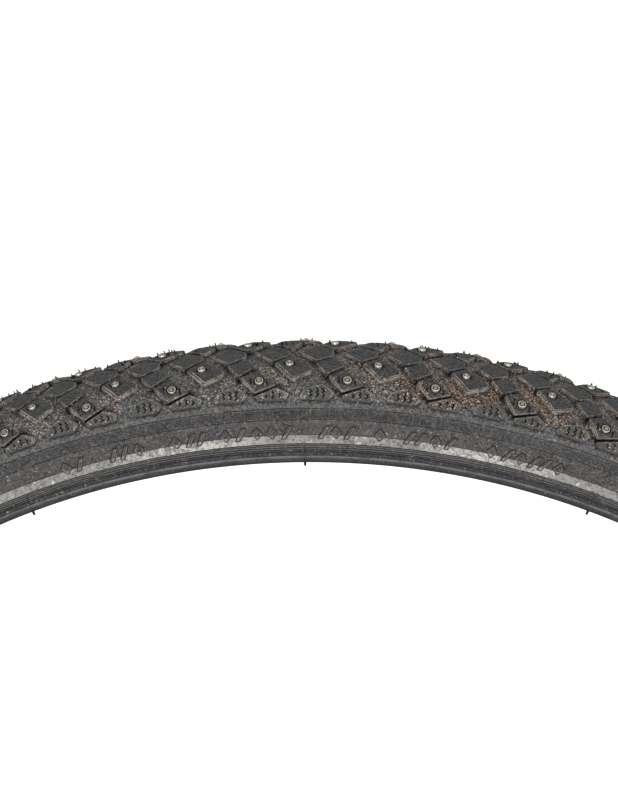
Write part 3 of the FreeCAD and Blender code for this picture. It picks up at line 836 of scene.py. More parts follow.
def ridge(path, side, width, height, closed):
    """A raised line on the sidewall along (degrees, radius) points."""
    p = np.array(path, float)
    r = p[:, 1]
    ph = np.radians(p[:, 0])
    y = wall_y(r)
    dy = (wall_y(r + 0.3) - wall_y(r - 0.3)) / 0.6
    nl = np.sqrt(1 + dy * dy)
    ny, nr = 1 / nl, -dy / nl
    pos = np.stack([r * np.sin(ph), y * side, r * np.cos(ph)], -1)
    nor = np.stack([nr * np.sin(ph), ny * side, nr * np.cos(ph)], -1)
    if closed:
        tg = np.roll(pos, -1, 0) - np.roll(pos, 1, 0)
    else:
        tg = np.gradient(pos, axis=0)
    tg /= np.linalg.norm(tg, axis=1)[:, None]
    b = np.cross(nor, tg)
    b /= np.linalg.norm(b, axis=1)[:, None]
    w, h = width / 2, height
    ringv = [(-w, -0.25), (-w * 0.75, h * 0.55), (-w * 0.3, h), (w * 0.3, h), (w * 0.75, h * 0.55), (w, -0.25)]
    v = np.stack([pos + b * q[0] + nor * q[1] for q in ringv], 1)
    n, k = len(p), len(ringv)
    f = grid_faces(n, k, closed, True).tolist()
    v = v.reshape(-1, 3)
    if not closed:
        f.append(list(range(k)))
        f.append([(n - 1) * k + i for i in range(k)][::-1])
    return v * MM, f


def joined(name, parts, angle=40, attrs=None):
    vs, fs, off = [], [], 0
    for v, f in parts:
        vs.append(v)
        fs += [[i + off for i in q] for q in f]
        off += len(v)
    ob = add_mesh(name, np.concatenate(vs), fs, attrs=attrs)
    mend(ob, angle)
    return ob


def outline(shape, w, h):
    """Plain closed outlines in mm, centred."""
    if shape == "lozenge":
        return [(-w / 2, 0), (0, h / 2), (w / 2, 0), (0, -h / 2)], True
    if shape == "slab":
        return [(-w / 2 + 1.9, h / 2), (w / 2 + 0.5, h / 2), (w / 2 - 1.9, -h / 2), (-w / 2 - 0.5, -h / 2)], True
    if shape == "stroke":
        return [(0.75, h / 2), (2.35, h / 2), (-0.75, -h / 2), (-2.35, -h / 2)], True
    if shape == "slash":
        return [(-w / 2 + 0.9, h / 2), (w / 2 + 0.4, h / 2), (w / 2 - 0.9, -h / 2), (-w / 2 - 0.4, -h / 2)], True
    if shape == "box":
        return [(-w / 2, h / 2), (w / 2, h / 2), (w / 2, -h / 2), (-w / 2, -h / 2)], True
    if shape == "hex":
        return [(-w / 2, 0), (-w * 0.28, h / 2), (w * 0.28, h / 2), (w / 2, 0), (w * 0.28, -h / 2), (-w * 0.28, -h / 2)], True
    if shape == "chevron":
        return [(-w / 2, -h / 2), (0, h / 2), (w / 2, -h / 2)], False
    return [(0, -h / 2), (0, h / 2)], False


def shaped(shape, w, h, phi, rc):
    pts, closed = outline(shape, w, h)
    q = []
    n = len(pts)
    for i in range(n):
        p = np.array(pts[i], float)
        if not closed and i in (0, n - 1):
            q.append(p)
            continue
        a, b = np.array(pts[i - 1], float) - p, np.array(pts[(i + 1) % n], float) - p
        c = min(0.35, 0.3 * np.hypot(*a), 0.3 * np.hypot(*b))
        s0, s1 = p + a / np.hypot(*a) * c, p + b / np.hypot(*b) * c
        for t in (0, 0.33, 0.67, 1):
            q.append((1 - t)**2 * s0 + 2 * t * (1 - t) * p + t * t * s1)
    out = []
    k = len(q)
    for i in range(k if closed else k - 1):
        a, b = q[i], q[(i + 1) % k]
        m_ = max(1, int(np.hypot(*(b - a)) / 0.8))
        for j in range(m_):
            out.append(a + (b - a) * j / m_)
    if not closed:
        out.append(q[-1])
    return [(phi + math.degrees(x / rc), rc + z) for x, z in out], closed


# (degrees from the top, shape, width mm): plain marks, no characters
GROUP = [(-19.0, "lozenge", 4.2), (-17.9, "stroke", 2.6), (-15.3, "stroke", 2.6), (-14.5, "stroke", 2.6), (-13.4, "lozenge", 4.2),
         (-10.6, "lozenge", 4.2), (-9.5, "stroke", 2.6), (-8.7, "stroke", 2.6), (-6.9, "lozenge", 4.2), (-5.8, "stroke", 2.6),
         (-4.6, "lozenge", 4.4), (-3.5, "lozenge", 4.4), (-2.4, "stroke", 2.6), (0.3, "stroke", 2.6), (1.2, "lozenge", 4.4), (2.2, "stroke", 2.6),
         (4.4, "lozenge", 4.4), (6.6, "stroke", 2.6), (7.4, "stroke", 2.6), (8.5, "lozenge", 4.2), (9.6, "stroke", 2.6),
         (12.7, "lozenge", 4.4), (13.9, "stroke", 2.6), (14.9, "lozenge", 4.2), (15.9, "stroke", 2.6), (16.7, "stroke", 2.6), (17.8, "lozenge", 4.2)]
# painted highlight along one side of a raised mark, one value for each corner of its cross-section
SIDE_HIGHLIGHT = [0.0, 0.0, 0.15, 0.7, 1.0, 0.8]


def area_sign(path):
    q = np.array(path)
    return np.sign(np.sum(q[:, 0] * np.roll(q[:, 1], -1) - np.roll(q[:, 0], -1) * q[:, 1]))


for tag, sd in (("left", -1), ("right", 1)):
    parts_, highlight_rows = [], []
    for start in (0, 120, 240):
        for a, shape, w in GROUP:
            path, closed = shaped(shape, w, 6.2, a + start, 324.6)
            parts_.append(ridge(path, sd, 0.85, 0.42, closed))
            # the painted highlight kept on the same side of every outline
            highlight_rows.append(np.tile(SIDE_HIGHLIGHT if area_sign(path) * sd < 0 else SIDE_HIGHLIGHT[::-1], len(path)))
    # notches under the hatched band
    for a in np.arange(0, 360, 30.0):
        path, closed = shaped("chevron", 3.6, 1.4, a - 1.15, 331.0)
        parts_.append(ridge(path, sd, 0.5, 0.25, closed))
        highlight_rows.append(np.tile([0.0] * 6, len(path)))
    ob = joined("sidewall_marks_%s" % tag, parts_, attrs={"lit": np.concatenate(highlight_rows)})
    ob["side"] = sd
    sidewalls["marks_" + tag] = ob


def hair(at, axis, length, radius, bend, segs=6, rings=4, taper=0.45):
    """A vent whisker: a thin tapering bent stem."""
    axis = np.array(axis, float) / np.linalg.norm(axis)
    u = np.cross(axis, [0.3, 0.9, 0.2])
    u /= np.linalg.norm(u)
    w = np.cross(axis, u)
    v, f = [], []
    for i in range(rings + 1):
        t = i / rings
        c = np.array(at) + axis * (length * t - 0.3 * (1 - t)) + u * bend * t * t * length
        rad = radius * (1 - taper * t)
        for j in range(segs):
            a = TAU * j / segs
            v.append(c + (u * math.cos(a) + w * math.sin(a)) * rad)
    f = grid_faces(rings + 1, segs, False, True).tolist()
    f.append(list(range(segs)))
    f.append([rings * segs + j for j in range(segs)][::-1])
    return np.array(v) * MM, f


def on_top(phi, s):
    p = tread_points(np.array([phi]), np.array([s]), np.array([0.0]))[0] / MM
    q = tread_points(np.array([phi]), np.array([s]), np.array([-1.0]))[0] / MM
    return p, q - p


def on_block(phi, s):
    """Whether a spot lies well within a block top."""
    a, q = abs(s), phi - (0.0 if s >= 0 else 3.0)
    probe = [(0, 0), (0.14, 0), (-0.14, 0), (0, 0.9), (0, -0.9)]
    for turn in (-6, 0, 6):
        for poly, _ in HALF_BLOCKS.values():
            if inside(np.array([(q + turn + u, a + v) for u, v in probe]), poly).all():
                stud = [np.hypot((q + turn - x) * UMM, a - y) for x, y in STUDS.values()]
                return min(stud) > 3.0
    return False


whiskers = []
for k in range(PITCHES):
    spots = [(rng.uniform(0, 6), rng.uniform(-25.0, -7.0)) for _ in range(34)] + [(rng.uniform(0, 6), rng.uniform(24.0, 30.0))]
    for phi, s in spots:
        if on_block(phi, s):
            p, n_ = on_top(phi + 6 * k, s)
            n_ = n_ + rng.normal(0, 0.2, 3)
            whiskers.append(hair(p, n_, rng.uniform(0.5, 1.35), rng.uniform(0.32, 0.46), rng.uniform(-0.3, 0.3), taper=0.25))
tread_hairs = joined("tread_vent_whiskers", whiskers)

VENTS = [-1.12, 21.1] + [-1.12 + 22.5 * k for k in range(2, 15)] + [-22.74]
bead_hairs = {}
for tag, sd in (("left", -1), ("right", 1)):
    parts_ = []
    for k, phi in enumerate(VENTS):
        t = math.radians(phi)
        at = np.array([311.3 * math.sin(t), 22.9 * sd, 311.3 * math.cos(t)])
        down = np.array([-math.sin(t), 0.12 * sd, -math.cos(t)])
        parts_.append(hair(at, down, 1.75 if k == 0 else rng.uniform(1.2, 2.2), 0.62, rng.uniform(-0.08, 0.08), segs=8, taper=0.2))
    bead_hairs[tag] = joined("bead_vent_whiskers_%s" % tag, parts_)
    lines = []
    for phi in VENTS:
        lines.append(ridge([(phi, r) for r in np.linspace(313.9, 318.2, 12)], sd, 0.45, 0.22, False))
        lines.append(ridge([(phi, 312.35), (phi, 312.9)], sd, 0.7, 0.30, False))
    bead_hairs["line_" + tag] = joined("vent_lines_%s" % tag, lines)


# ------------------------------------------------------------------ materials
def lin(c):
    """sRGB 0..255 to linear."""
    out = []
    for v in c:
        v = v / 255.0
        out.append(v / 12.92 if v <= 0.04045 else ((v + 0.055) / 1.055)**2.4)
    return tuple(out) + (1.0,)


class Mat:
    def __init__(self, name, metallic=0.0, rough=0.6, specular=0.5):
        self.m = bpy.data.materials.new(name)
        self.m.use_nodes = True
        self.t = self.m.node_tree
        self.t.nodes.clear()
        out = self.t.nodes.new("ShaderNodeOutputMaterial")
        self.b = self.t.nodes.new("ShaderNodeBsdfPrincipled")
        self.t.links.new(self.b.outputs[0], out.inputs["Surface"])
        self.b.inputs["Metallic"].default_value = metallic
        self.b.inputs["Roughness"].default_value = rough
        self.b.inputs["Specular IOR Level"].default_value = specular
        self.co = self.t.nodes.new("ShaderNodeTexCoord").outputs["Object"]

    def put(self, socket, value):
        if hasattr(value, "is_linked") or hasattr(value, "links"):
            self.t.links.new(value, socket)
        else:
            socket.default_value = value

    def noise(self, scale, detail=3.0, rough=0.55, vec=None, distort=0.0):
        n = self.t.nodes.new("ShaderNodeTexNoise")
        n.inputs["Scale"].default_value = scale
        n.inputs["Detail"].default_value = detail
        n.inputs["Roughness"].default_value = rough
        n.inputs["Distortion"].default_value = distort
        self.t.links.new(vec or self.co, n.inputs["Vector"])
        return n.outputs["Fac"]

    def cells(self, scale, feature="F1", vec=None):
        n = self.t.nodes.new("ShaderNodeTexVoronoi")
        n.feature = feature
        n.inputs["Scale"].default_value = scale
        self.t.links.new(vec or self.co, n.inputs["Vector"])
        return n.outputs["Distance"]

    def grains(self, scale, vec=None):
        """Two random values a small cell."""
        n = self.t.nodes.new("ShaderNodeTexVoronoi")
        n.inputs["Scale"].default_value = scale
        self.t.links.new(vec or self.co, n.inputs["Vector"])
        s = self.t.nodes.new("ShaderNodeSeparateColor")
        self.t.links.new(n.outputs["Color"], s.inputs[0])
        return s.outputs[0], s.outputs[1]

    def scaled(self, x, y, z):
        n = self.t.nodes.new("ShaderNodeVectorMath")
        n.operation = "MULTIPLY"
        n.inputs[1].default_value = (x, y, z)
        self.t.links.new(self.co, n.inputs[0])
        return n.outputs[0]

    def remap(self, v, a, b, c=0.0, d=1.0, smooth=True):
        n = self.t.nodes.new("ShaderNodeMapRange")
        n.interpolation_type = "SMOOTHSTEP" if smooth else "LINEAR"
        for i, x in zip(("From Min", "From Max", "To Min", "To Max"), (a, b, c, d)):
            n.inputs[i].default_value = x
        self.t.links.new(v, n.inputs["Value"])
        return n.outputs["Result"]

    def math(self, op, a, b=0.0, clamp=False):
        n = self.t.nodes.new("ShaderNodeMath")
        n.operation = op
        n.use_clamp = clamp
        self.put(n.inputs[0], a)
        self.put(n.inputs[1], b)
        return n.outputs[0]

    def mix(self, fac, a, b, kind="MIX"):
        n = self.t.nodes.new("ShaderNodeMix")
        n.data_type = "RGBA"
        n.blend_type = kind
        self.put(n.inputs[0], fac)
        self.put(n.inputs[6], a)
        self.put(n.inputs[7], b)
        return n.outputs[2]

    def attr(self, name):
        n = self.t.nodes.new("ShaderNodeAttribute")
        n.attribute_name = name
        return n.outputs["Fac"]

    def bump(self, height, strength, dist, chain=None):
        n = self.t.nodes.new("ShaderNodeBump")
        n.inputs["Strength"].default_value = strength
        n.inputs["Distance"].default_value = dist
        self.t.links.new(height, n.inputs["Height"])
        if chain is not None:
            self.t.links.new(chain, n.inputs["Normal"])
        return n.outputs[0]

    def done(self, color, rough=None, normal=None):
        self.put(self.b.inputs["Base Color"], color)
        if rough is not None:
            self.put(self.b.inputs["Roughness"], rough)
        if normal is not None:
            self.put(self.b.inputs["Normal"], normal)
        return self.m


def tread_material():
    m = Mat("worn_tread_rubber", rough=0.75, specular=0.12)
    cav, rim, wide, slit, painted_shade, grit, earth = (m.attr(q) for q in ("cav", "rim", "wide", "slit", "painted_shade", "grit", "soil"))
    broad = m.noise(70, 3)
    fine = m.noise(1000, 4, 0.7)
    rough_n = m.noise(1500, 3, 0.65)
    tone, pick = m.grains(2050)
    tone2, pick2 = m.grains(2900)
    # worn tops: grey, faintly grained and streaked
    top = m.mix(m.remap(fine, 0.40, 0.60), lin((18, 19, 20)), lin((72, 73, 74)))
    top = m.mix(m.math("MULTIPLY", m.remap(tone2, 0.0, 1.0, smooth=False), 0.34), top, lin((98, 98, 96)))
    top = m.mix(m.math("MULTIPLY", m.remap(broad, 0.35, 0.7), 0.3), top, lin((70, 68, 66)))
    # painted light: the tops made lighter towards the shoulder, on the lugs
    sep = m.t.nodes.new("ShaderNodeSeparateXYZ")
    m.t.links.new(m.co, sep.inputs[0])
    rad = m.math("SQRT", m.math("ADD", m.math("MULTIPLY", sep.outputs["X"], sep.outputs["X"]), m.math("MULTIPLY", sep.outputs["Z"], sep.outputs["Z"])))
    top = m.mix(m.remap(rad, 0.3482, 0.3445, 0.0, 0.26), top, lin((100, 100, 99)))
    # groove walls and floors: darker walls, cleaner bluish floors
    wall = m.mix(m.remap(fine, 0.38, 0.62), lin((30, 29, 29)), lin((84, 82, 80)))
    wall = m.mix(m.math("MULTIPLY", tone2, 0.28), wall, lin((112, 106, 99)))
    floor = m.mix(m.remap(fine, 0.40, 0.60), lin((38, 39, 41)), lin((98, 100, 102)))
    floor = m.mix(m.math("MULTIPLY", tone2, 0.28), floor, lin((124, 123, 122)))
    color = m.mix(m.remap(cav, 0.30, 0.42), top, wall)
    color = m.mix(m.math("MULTIPLY", m.remap(cav, 0.9, 1.0), m.remap(wide, 0.0, 0.4)), color, floor)
    # painted shade: narrow grooves and the feet of the lugs near black
    color = m.mix(m.math("MULTIPLY", m.math("MULTIPLY", painted_shade, m.remap(cav, 0.12, 0.34)), 0.93), color, lin((7, 6, 6)))
    # single grains of grit, from nearly black to pale
    grey = m.mix(m.remap(tone, 0.14, 0.30), lin((36, 31, 29)), lin((102, 92, 87)))
    grey = m.mix(m.remap(tone, 0.64, 0.92), grey, lin((178, 168, 160)))
    brown = m.mix(m.remap(tone, 0.26, 0.42), lin((28, 20, 15)), lin((108, 82, 62)))
    brown = m.mix(m.remap(tone, 0.64, 0.90), brown, lin((192, 164, 134)))
    grain = m.mix(m.remap(m.math("ADD", m.math("MULTIPLY", earth, 0.62), m.math("MULTIPLY", m.noise(120, 4, 0.6), 0.9)), 0.50, 0.95), grey, brown)
    patch = m.remap(m.noise(48, 3, 0.6), 0.36, 0.60, 0.30, 1.0)
    share = m.math("MULTIPLY", m.math("MULTIPLY", grit, patch), m.math("SUBTRACT", 1.0, m.math("MULTIPLY", painted_shade, 0.6)))
    mask = m.remap(m.math("SUBTRACT", m.math("MULTIPLY", share, 0.92), pick), 0.0, 0.12)
    color = m.mix(m.math("MULTIPLY", mask, 0.92), color, grain)
    pits = m.math("MULTIPLY", m.remap(pick2, 0.90, 0.94), m.remap(cav, 0.0, 0.3, 0.45, 0.9))
    color = m.mix(pits, color, lin((14, 13, 12)))
    # painted highlight along the rubbed edges, partly real wear: one thin line at the lip and one where the chamfer
    # ends
    worn = m.remap(m.noise(300, 4, 0.7), 0.42, 0.56, 0.25, 1.0)
    lip = m.math("MULTIPLY", m.remap(rim, 0.46, 0.58), m.remap(rim, 0.78, 0.66))
    outer = m.remap(rim, 0.84, 0.96)
    edge = m.math("MULTIPLY", m.math("MAXIMUM", m.math("MULTIPLY", lip, 0.75), outer), m.math("MULTIPLY", worn, m.math("SUBTRACT", 1.0, m.math("MULTIPLY", painted_shade, 0.75))))
    color = m.mix(m.math("MULTIPLY", edge, 0.82), color, lin((176, 169, 160)))
    # painted shade: sipes and stud holes near black
    color = m.mix(m.remap(slit, 0.04, 0.35), color, lin((6, 6, 6)))
    deep = m.remap(m.noise(260, 2), 0.3, 0.7, 0.68, 0.85)
    rough = m.mix(mask, deep, (0.95, 0.95, 0.95, 1))
    n = m.bump(rough_n, 0.5, 0.0004)
    n = m.bump(m.noise(380, 4, 0.6), 0.6, 0.001, n)
    n = m.bump(mask, 0.6, 0.0005, n)
    return m.done(color, rough, n)


def wall_material():
    m = Mat("sidewall_rubber_surface", rough=0.5, specular=0.3)
    dark, hatch, low, crest = m.attr("dark"), m.attr("hatch"), m.attr("low"), m.attr("crest")
    sep = m.t.nodes.new("ShaderNodeSeparateXYZ")
    m.t.links.new(m.co, sep.inputs[0])
    rad = m.math("SQRT", m.math("ADD", m.math("MULTIPLY", sep.outputs["X"], sep.outputs["X"]), m.math("MULTIPLY", sep.outputs["Z"], sep.outputs["Z"])))
    upper = m.remap(rad, 0.3348, 0.3358)
    fine = m.noise(1050, 4, 0.75)
    broad = m.noise(110, 5, 0.65)
    color = m.mix(m.remap(fine, 0.40, 0.60), lin((22, 21, 21)), lin((72, 70, 68)))
    color = m.mix(m.math("MULTIPLY", m.remap(broad, 0.42, 0.62), 0.45), color, lin((74, 71, 69)))
    color = m.mix(m.math("MULTIPLY", upper, 0.75), color, m.mix(m.remap(fine, 0.4, 0.6), lin((52, 50, 49)), lin((96, 93, 90))))
    color = m.mix(m.math("MULTIPLY", hatch, 0.6), color, m.mix(m.remap(fine, 0.4, 0.6), lin((36, 36, 39)), lin((78, 77, 80))))
    color = m.mix(m.math("MULTIPLY", low, 0.75), color, m.mix(m.remap(fine, 0.4, 0.6), lin((14, 15, 18)), lin((44, 44, 48))))
    streak = m.remap(m.noise(420, 5, 0.8), 0.54, 0.64)
    color = m.mix(m.math("MULTIPLY", streak, 0.55), color, lin((116, 109, 102)))
    pits = m.remap(m.noise(900, 4, 0.8), 0.42, 0.34)
    color = m.mix(m.math("MULTIPLY", pits, 0.7), color, lin((14, 13, 13)))
    spots = m.remap(m.noise(850, 3, 0.8), 0.63, 0.68)
    color = m.mix(m.math("MULTIPLY", spots, 0.7), color, lin((180, 173, 165)))
    gaps = m.remap(m.noise(160, 4, 0.7), 0.40, 0.52, 0.35, 1.0)
    # painted highlight on the rib crests, then painted shade along the dark lines and hatch troughs
    color = m.mix(m.math("MULTIPLY", m.math("MULTIPLY", crest, 0.50), gaps), color, lin((122, 121, 122)))
    color = m.mix(m.math("MULTIPLY", m.math("MULTIPLY", dark, 0.9), gaps), color, lin((6, 6, 7)))
    rough = m.remap(m.noise(120, 3), 0.3, 0.7, 0.42, 0.62)
    n = m.bump(fine, 0.4, 0.0003)
    n = m.bump(m.noise(90, 3), 0.25, 0.0015, n)
    n = m.bump(m.noise(450, 4, 0.7), 0.4, 0.0006, n)
    return m.done(color, rough, n)


def mark_material():
    m = Mat("moulded_mark_rubber", rough=0.5, specular=0.4)
    fine = m.noise(900, 4, 0.6)
    lit = m.attr("lit")
    # ridges dark, with a painted highlight along one side from the lit values
    color = m.mix(m.remap(fine, 0.3, 0.7), lin((16, 15, 15)), lin((30, 28, 27)))
    light = m.mix(m.remap(fine, 0.3, 0.7), lin((84, 80, 76)), lin((140, 134, 128)))
    color = m.mix(m.remap(lit, 0.45, 0.9), color, light)
    return m.done(color, m.remap(m.noise(200, 2), 0.3, 0.7, 0.4, 0.6), m.bump(fine, 0.25, 0.0003))


def chafer_material():
    m = Mat("bead_rubber", rough=0.5, specular=0.3)
    dark = m.attr("dark")
    fine = m.noise(1100, 3, 0.6)
    color = m.mix(m.remap(fine, 0.38, 0.62), lin((16, 16, 18)), lin((42, 42, 45)))
    color = m.mix(m.math("MULTIPLY", m.remap(m.noise(130, 4, 0.6), 0.45, 0.66), 0.35), color, lin((62, 62, 65)))
    spots = m.remap(m.noise(750, 3, 0.7), 0.66, 0.72)
    color = m.mix(m.math("MULTIPLY", spots, 0.6), color, lin((150, 150, 152)))
    # painted highlight along the bead crest, then painted shade in the groove above the bead and under it
    color = m.mix(m.math("MULTIPLY", m.math("MULTIPLY", m.attr("crest"), 0.62), m.remap(m.noise(140, 4, 0.7), 0.38, 0.56, 0.45, 1.0)), color, lin((122, 124, 132)))
    color = m.mix(m.math("MULTIPLY", dark, 0.95), color, lin((4, 4, 5)))
    n = m.bump(fine, 0.3, 0.0003)
    n = m.bump(m.noise(70, 3), 0.25, 0.001, n)
    return m.done(color, m.remap(m.noise(90, 3), 0.3, 0.7, 0.46, 0.62), n)


def strip_material():
    m = Mat("reflective_tape_surface", metallic=0.1, rough=0.45, specular=0.5)
    wob = m.noise(500, 3, 0.6)
    cell = m.cells(950)
    crease = m.remap(m.noise(420, 5, 0.75, distort=1.2), 0.42, 0.58)
    dull = m.mix(crease, lin((58, 57, 55)), lin((118, 116, 112)))
    dull = m.mix(m.remap(cell, 0.1, 0.7), dull, m.mix(0.5, dull, lin((150, 148, 144))))
    bright = m.mix(crease, lin((104, 101, 98)), lin((180, 177, 171)))
    # rubbed clean in some stretches, dull in others
    sep = m.t.nodes.new("ShaderNodeSeparateXYZ")
    m.t.links.new(m.co, sep.inputs[0])
    ang = m.math("ARCTAN2", sep.outputs["X"], sep.outputs["Z"])
    wave = m.math("COSINE", m.math("MULTIPLY", m.math("ADD", ang, 0.18), 16.0))
    clean = m.remap(m.math("ADD", m.math("MULTIPLY", wave, 0.5), m.math("MULTIPLY", m.noise(30, 3, 0.6), 1.6)), 0.62, 1.35)
    color = m.mix(m.math("MULTIPLY", clean, 0.9), dull, bright)
    # painted glints on the tape
    flash = m.remap(m.noise(300, 4, 0.7), 0.60, 0.70)
    color = m.mix(m.math("MULTIPLY", flash, 0.7), color, lin((215, 212, 207)))
    grime = m.remap(m.noise(190, 4, 0.65), 0.54, 0.72)
    color = m.mix(m.math("MULTIPLY", grime, 0.5), color, lin((84, 79, 74)))
    n = m.bump(cell, 0.35, 0.0003)
    n = m.bump(wob, 0.3, 0.0006, n)
    return m.done(color, m.remap(wob, 0.3, 0.7, 0.38, 0.6), n)


def metal_material(name, a, b, stain, rough, metallic=1.0):
    m = Mat(name, metallic=metallic, rough=rough, specular=0.5)
    tone = m.attr("tone")
    fine = m.noise(1400, 4, 0.65)
    color = m.mix(m.remap(fine, 0.3, 0.7), lin(a), lin(b))
    spots = m.remap(m.noise(900, 4, 0.7), 0.52, 0.64)
    color = m.mix(m.math("MULTIPLY", spots, m.remap(tone, 0.0, 1.0, 0.15, 0.75)), color, lin(stain))
    # painted shade in the cup round the pin
    color = m.mix(m.math("MULTIPLY", m.attr("seat"), 0.95), color, lin((8, 7, 6)))
    n = m.bump(fine, 0.25, 0.0001)
    return m.done(color, m.remap(m.noise(700, 3), 0.3, 0.7, rough - 0.1, rough + 0.15), n)


def cord_material(name, a, b, pitch, rubbery=0.6):
    """Rubber over cords that run across the tyre on the bias."""
    m = Mat(name, rough=rubbery)
    arc_ = m.attr("arc")
    sep = m.t.nodes.new("ShaderNodeSeparateXYZ")
    m.t.links.new(m.co, sep.inputs[0])
    ang = m.math("ARCTAN2", sep.outputs["X"], sep.outputs["Z"])
    along = m.math("MULTIPLY", ang, 340.0)
    diag = m.math("ADD", along, arc_)
    wave = m.math("SINE", m.math("MULTIPLY", diag, TAU / pitch))
    cross = m.math("SINE", m.math("MULTIPLY", m.math("SUBTRACT", along, arc_), TAU / pitch))
    weave = m.math("MAXIMUM", wave, m.math("MULTIPLY", cross, 0.7))
    fine = m.noise(900, 4, 0.6)
    color = m.mix(m.remap(weave, -0.4, 0.9), lin(a), lin(b))
    color = m.mix(m.math("MULTIPLY", m.remap(m.noise(40, 4, 0.6), 0.4, 0.7), 0.5), color, lin((92, 86, 80)))
    color = m.mix(m.math("MULTIPLY", m.remap(m.noise(700, 3, 0.7), 0.62, 0.7), 0.4), color, lin((150, 142, 132)))
    n = m.bump(weave, 0.5, 0.0002)
    n = m.bump(fine, 0.25, 0.0002, n)
    return m.done(color, m.remap(fine, 0.3, 0.7, rubbery - 0.12, rubbery + 0.12), n)


def plain_rubber(name, a, b, haze=0.4):
    m = Mat(name, rough=0.75, specular=0.2)
    fine = m.noise(800, 4, 0.6)
    color = m.mix(m.remap(fine, 0.3, 0.7), lin(a), lin(b))
    color = m.mix(m.math("MULTIPLY", m.remap(m.noise(60, 3), 0.4, 0.7), haze), color, lin((90, 86, 82)))
    return m.done(color, m.remap(m.noise(150, 3), 0.3, 0.7, 0.6, 0.8), m.bump(fine, 0.3, 0.0002))


MT = tread_material()
MW = wall_material()
MK = mark_material()
MC = chafer_material()
MS = strip_material()
MB = metal_material("stud_body_metal", (160, 157, 148), (222, 219, 208), (104, 84, 66), 0.38, 0.7)
MP = metal_material("stud_pin_carbide", (104, 97, 84), (176, 166, 144), (84, 66, 50), 0.42, 0.7)
MWIRE = metal_material("bead_wire_bronze", (150, 128, 92), (190, 164, 120), (96, 70, 50), 0.4)
MPLY = cord_material("inner_casing_cords", (46, 45, 46), (66, 64, 63), 1.1)
MPLY2 = cord_material("outer_casing_cords", (50, 48, 46), (72, 69, 66), 1.1)
MBELT = cord_material("breaker_weave", (96, 84, 58), (150, 134, 96), 0.9, 0.75)
MFILL = plain_rubber("bead_filler_rubber", (40, 40, 42), (56, 56, 58))
MHAIR = plain_rubber("vent_whisker_rubber", (5, 5, 5), (14, 13, 13), 0.0)


def piece(ob, node, material, part_name=None):
    ob.data.materials.clear()
    ob.data.materials.append(material)
    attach(ob, "root")
    if node:
        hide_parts(node)
    return ob


piece(tread, "tread", MT)
piece(tread_hairs, None, MHAIR)
for tag in ("left", "right"):
    piece(sidewalls[tag], "sidewall_" + tag, MW)
    piece(sidewalls["marks_" + tag], None, MK)
    piece(strips[tag], "reflective_strip_" + tag, MS)
    piece(chafers[tag], "chafer_" + tag, MC)
    piece(bead_hairs[tag], None, MHAIR)
    piece(bead_hairs["line_" + tag], None, MC)
piece(ply_in, "casing_ply_inner", MPLY)
piece(ply_out, "casing_ply_outer", MPLY2)
piece(belt, "puncture_belt", MBELT)
for key in ROWS:
    piece(bodies[key], "stud_bodies_" + key, MB)
    piece(pins[key], "stud_pins_" + key, MP)
for name, mat_ in (("bead_core_left", MWIRE), ("bead_core_right", MWIRE), ("bead_filler_left", MFILL), ("bead_filler_right", MFILL)):
    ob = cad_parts[name]
    ob.data.materials.clear()
    ob.data.materials.append(mat_)

# ------------------------------------------------------------------ stage
FLOOR_Z = -351.9 * MM
g = 12
xs = np.linspace(-7, 7, g)
ys = np.linspace(-7, 7, g)
fv = np.array([(x, y + 1.0, FLOOR_Z) for y in ys for x in xs])
floor = add_mesh("studio_floor", fv, grid_faces(g, g, False, False))
fm = Mat("studio_floor_paint", rough=0.9, specular=0.1)
tint = fm.mix(fm.remap(fm.noise(3, 2), 0.3, 0.7), (0.93, 0.93, 0.93, 1), (0.96, 0.96, 0.96, 1))
fm.put(fm.b.inputs["Emission Color"], tint)
fm.b.inputs["Emission Strength"].default_value = 0.42
floor.data.materials.append(fm.done(tint, 0.9, fm.bump(fm.noise(60, 3), 0.02, 0.001)))

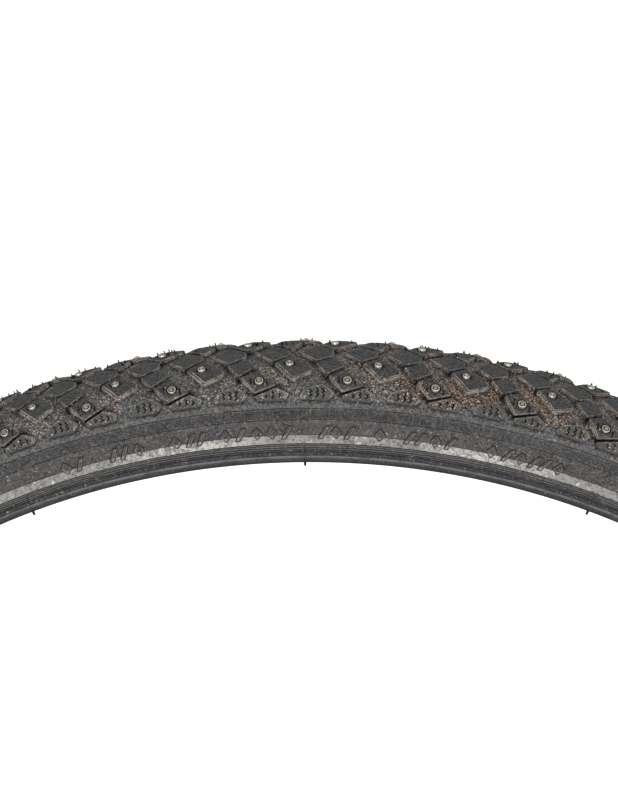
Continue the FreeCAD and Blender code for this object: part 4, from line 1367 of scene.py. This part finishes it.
world = bpy.data.worlds.new("studio")
world.use_nodes = True
scene.world = world
wt = world.node_tree
bg = wt.nodes["Background"]
wc = wt.nodes.new("ShaderNodeTexCoord")
ws = wt.nodes.new("ShaderNodeSeparateXYZ")
wt.links.new(wc.outputs["Generated"], ws.inputs[0])
wr = wt.nodes.new("ShaderNodeMapRange")
for key, val in (("From Min", 0.0), ("From Max", 0.6), ("To Min", 0.85), ("To Max", 0.42)):
    wr.inputs[key].default_value = val
wt.links.new(ws.outputs["Z"], wr.inputs["Value"])
bg.inputs["Color"].default_value = (1.0, 1.0, 1.0, 1)
wt.links.new(wr.outputs["Result"], bg.inputs["Strength"])


def area(name, loc, target, w, h, power, color=(1, 1, 1)):
    li = bpy.data.lights.new(name, "AREA")
    li.shape = "RECTANGLE"
    li.size, li.size_y = w, h
    li.energy = power
    li.color = color
    o = bpy.data.objects.new(name, li)
    scene.collection.objects.link(o)
    o.location = loc
    o.rotation_mode = "QUATERNION"
    o.rotation_quaternion = (Vector(target) - Vector(loc)).to_track_quat("-Z", "Y")
    return o


area("key_left", (-1.6, -1.6, 1.5), (0, 0, 0.3), 0.9, 1.2, 12)
area("key_right", (1.7, -1.4, 1.3), (0, 0, 0.3), 0.9, 1.2, 10)
area("front_fill", (0.0, -2.6, 1.0), (0, 0, 0.25), 2.0, 1.2, 34)
area("back_top", (0.1, 1.6, 2.0), (0, 0, 0.3), 1.8, 0.8, 3)
area("floor_wash", (0, 2.6, 3.4), (0, 2.2, -0.35), 5.0, 3.0, 70)

# ------------------------------------------------------------------ camera
cam_data = bpy.data.cameras.new("camera")
cam = bpy.data.objects.new("camera", cam_data)
scene.collection.objects.link(cam)
scene.camera = cam
yaw, elev = math.radians(1.6357), math.radians(22.8385)
back = Vector((math.sin(yaw) * math.cos(elev), -math.cos(yaw) * math.cos(elev), math.sin(elev)))
cam.location = Vector((-5.097, 0, 329.312)) * MM + back * 1.300
cam.rotation_mode = "QUATERNION"
cam.rotation_quaternion = (-back).to_track_quat("-Z", "Y")
cam_data.sensor_width = 36
cam_data.lens = 3095.686 * 36 / 800
cam_data.clip_start, cam_data.clip_end = 0.05, 50

scene.view_settings.view_transform = "Standard"
scene.view_settings.look = "None"
scene.view_settings.exposure = 0.0
scene.view_settings.gamma = 1.0
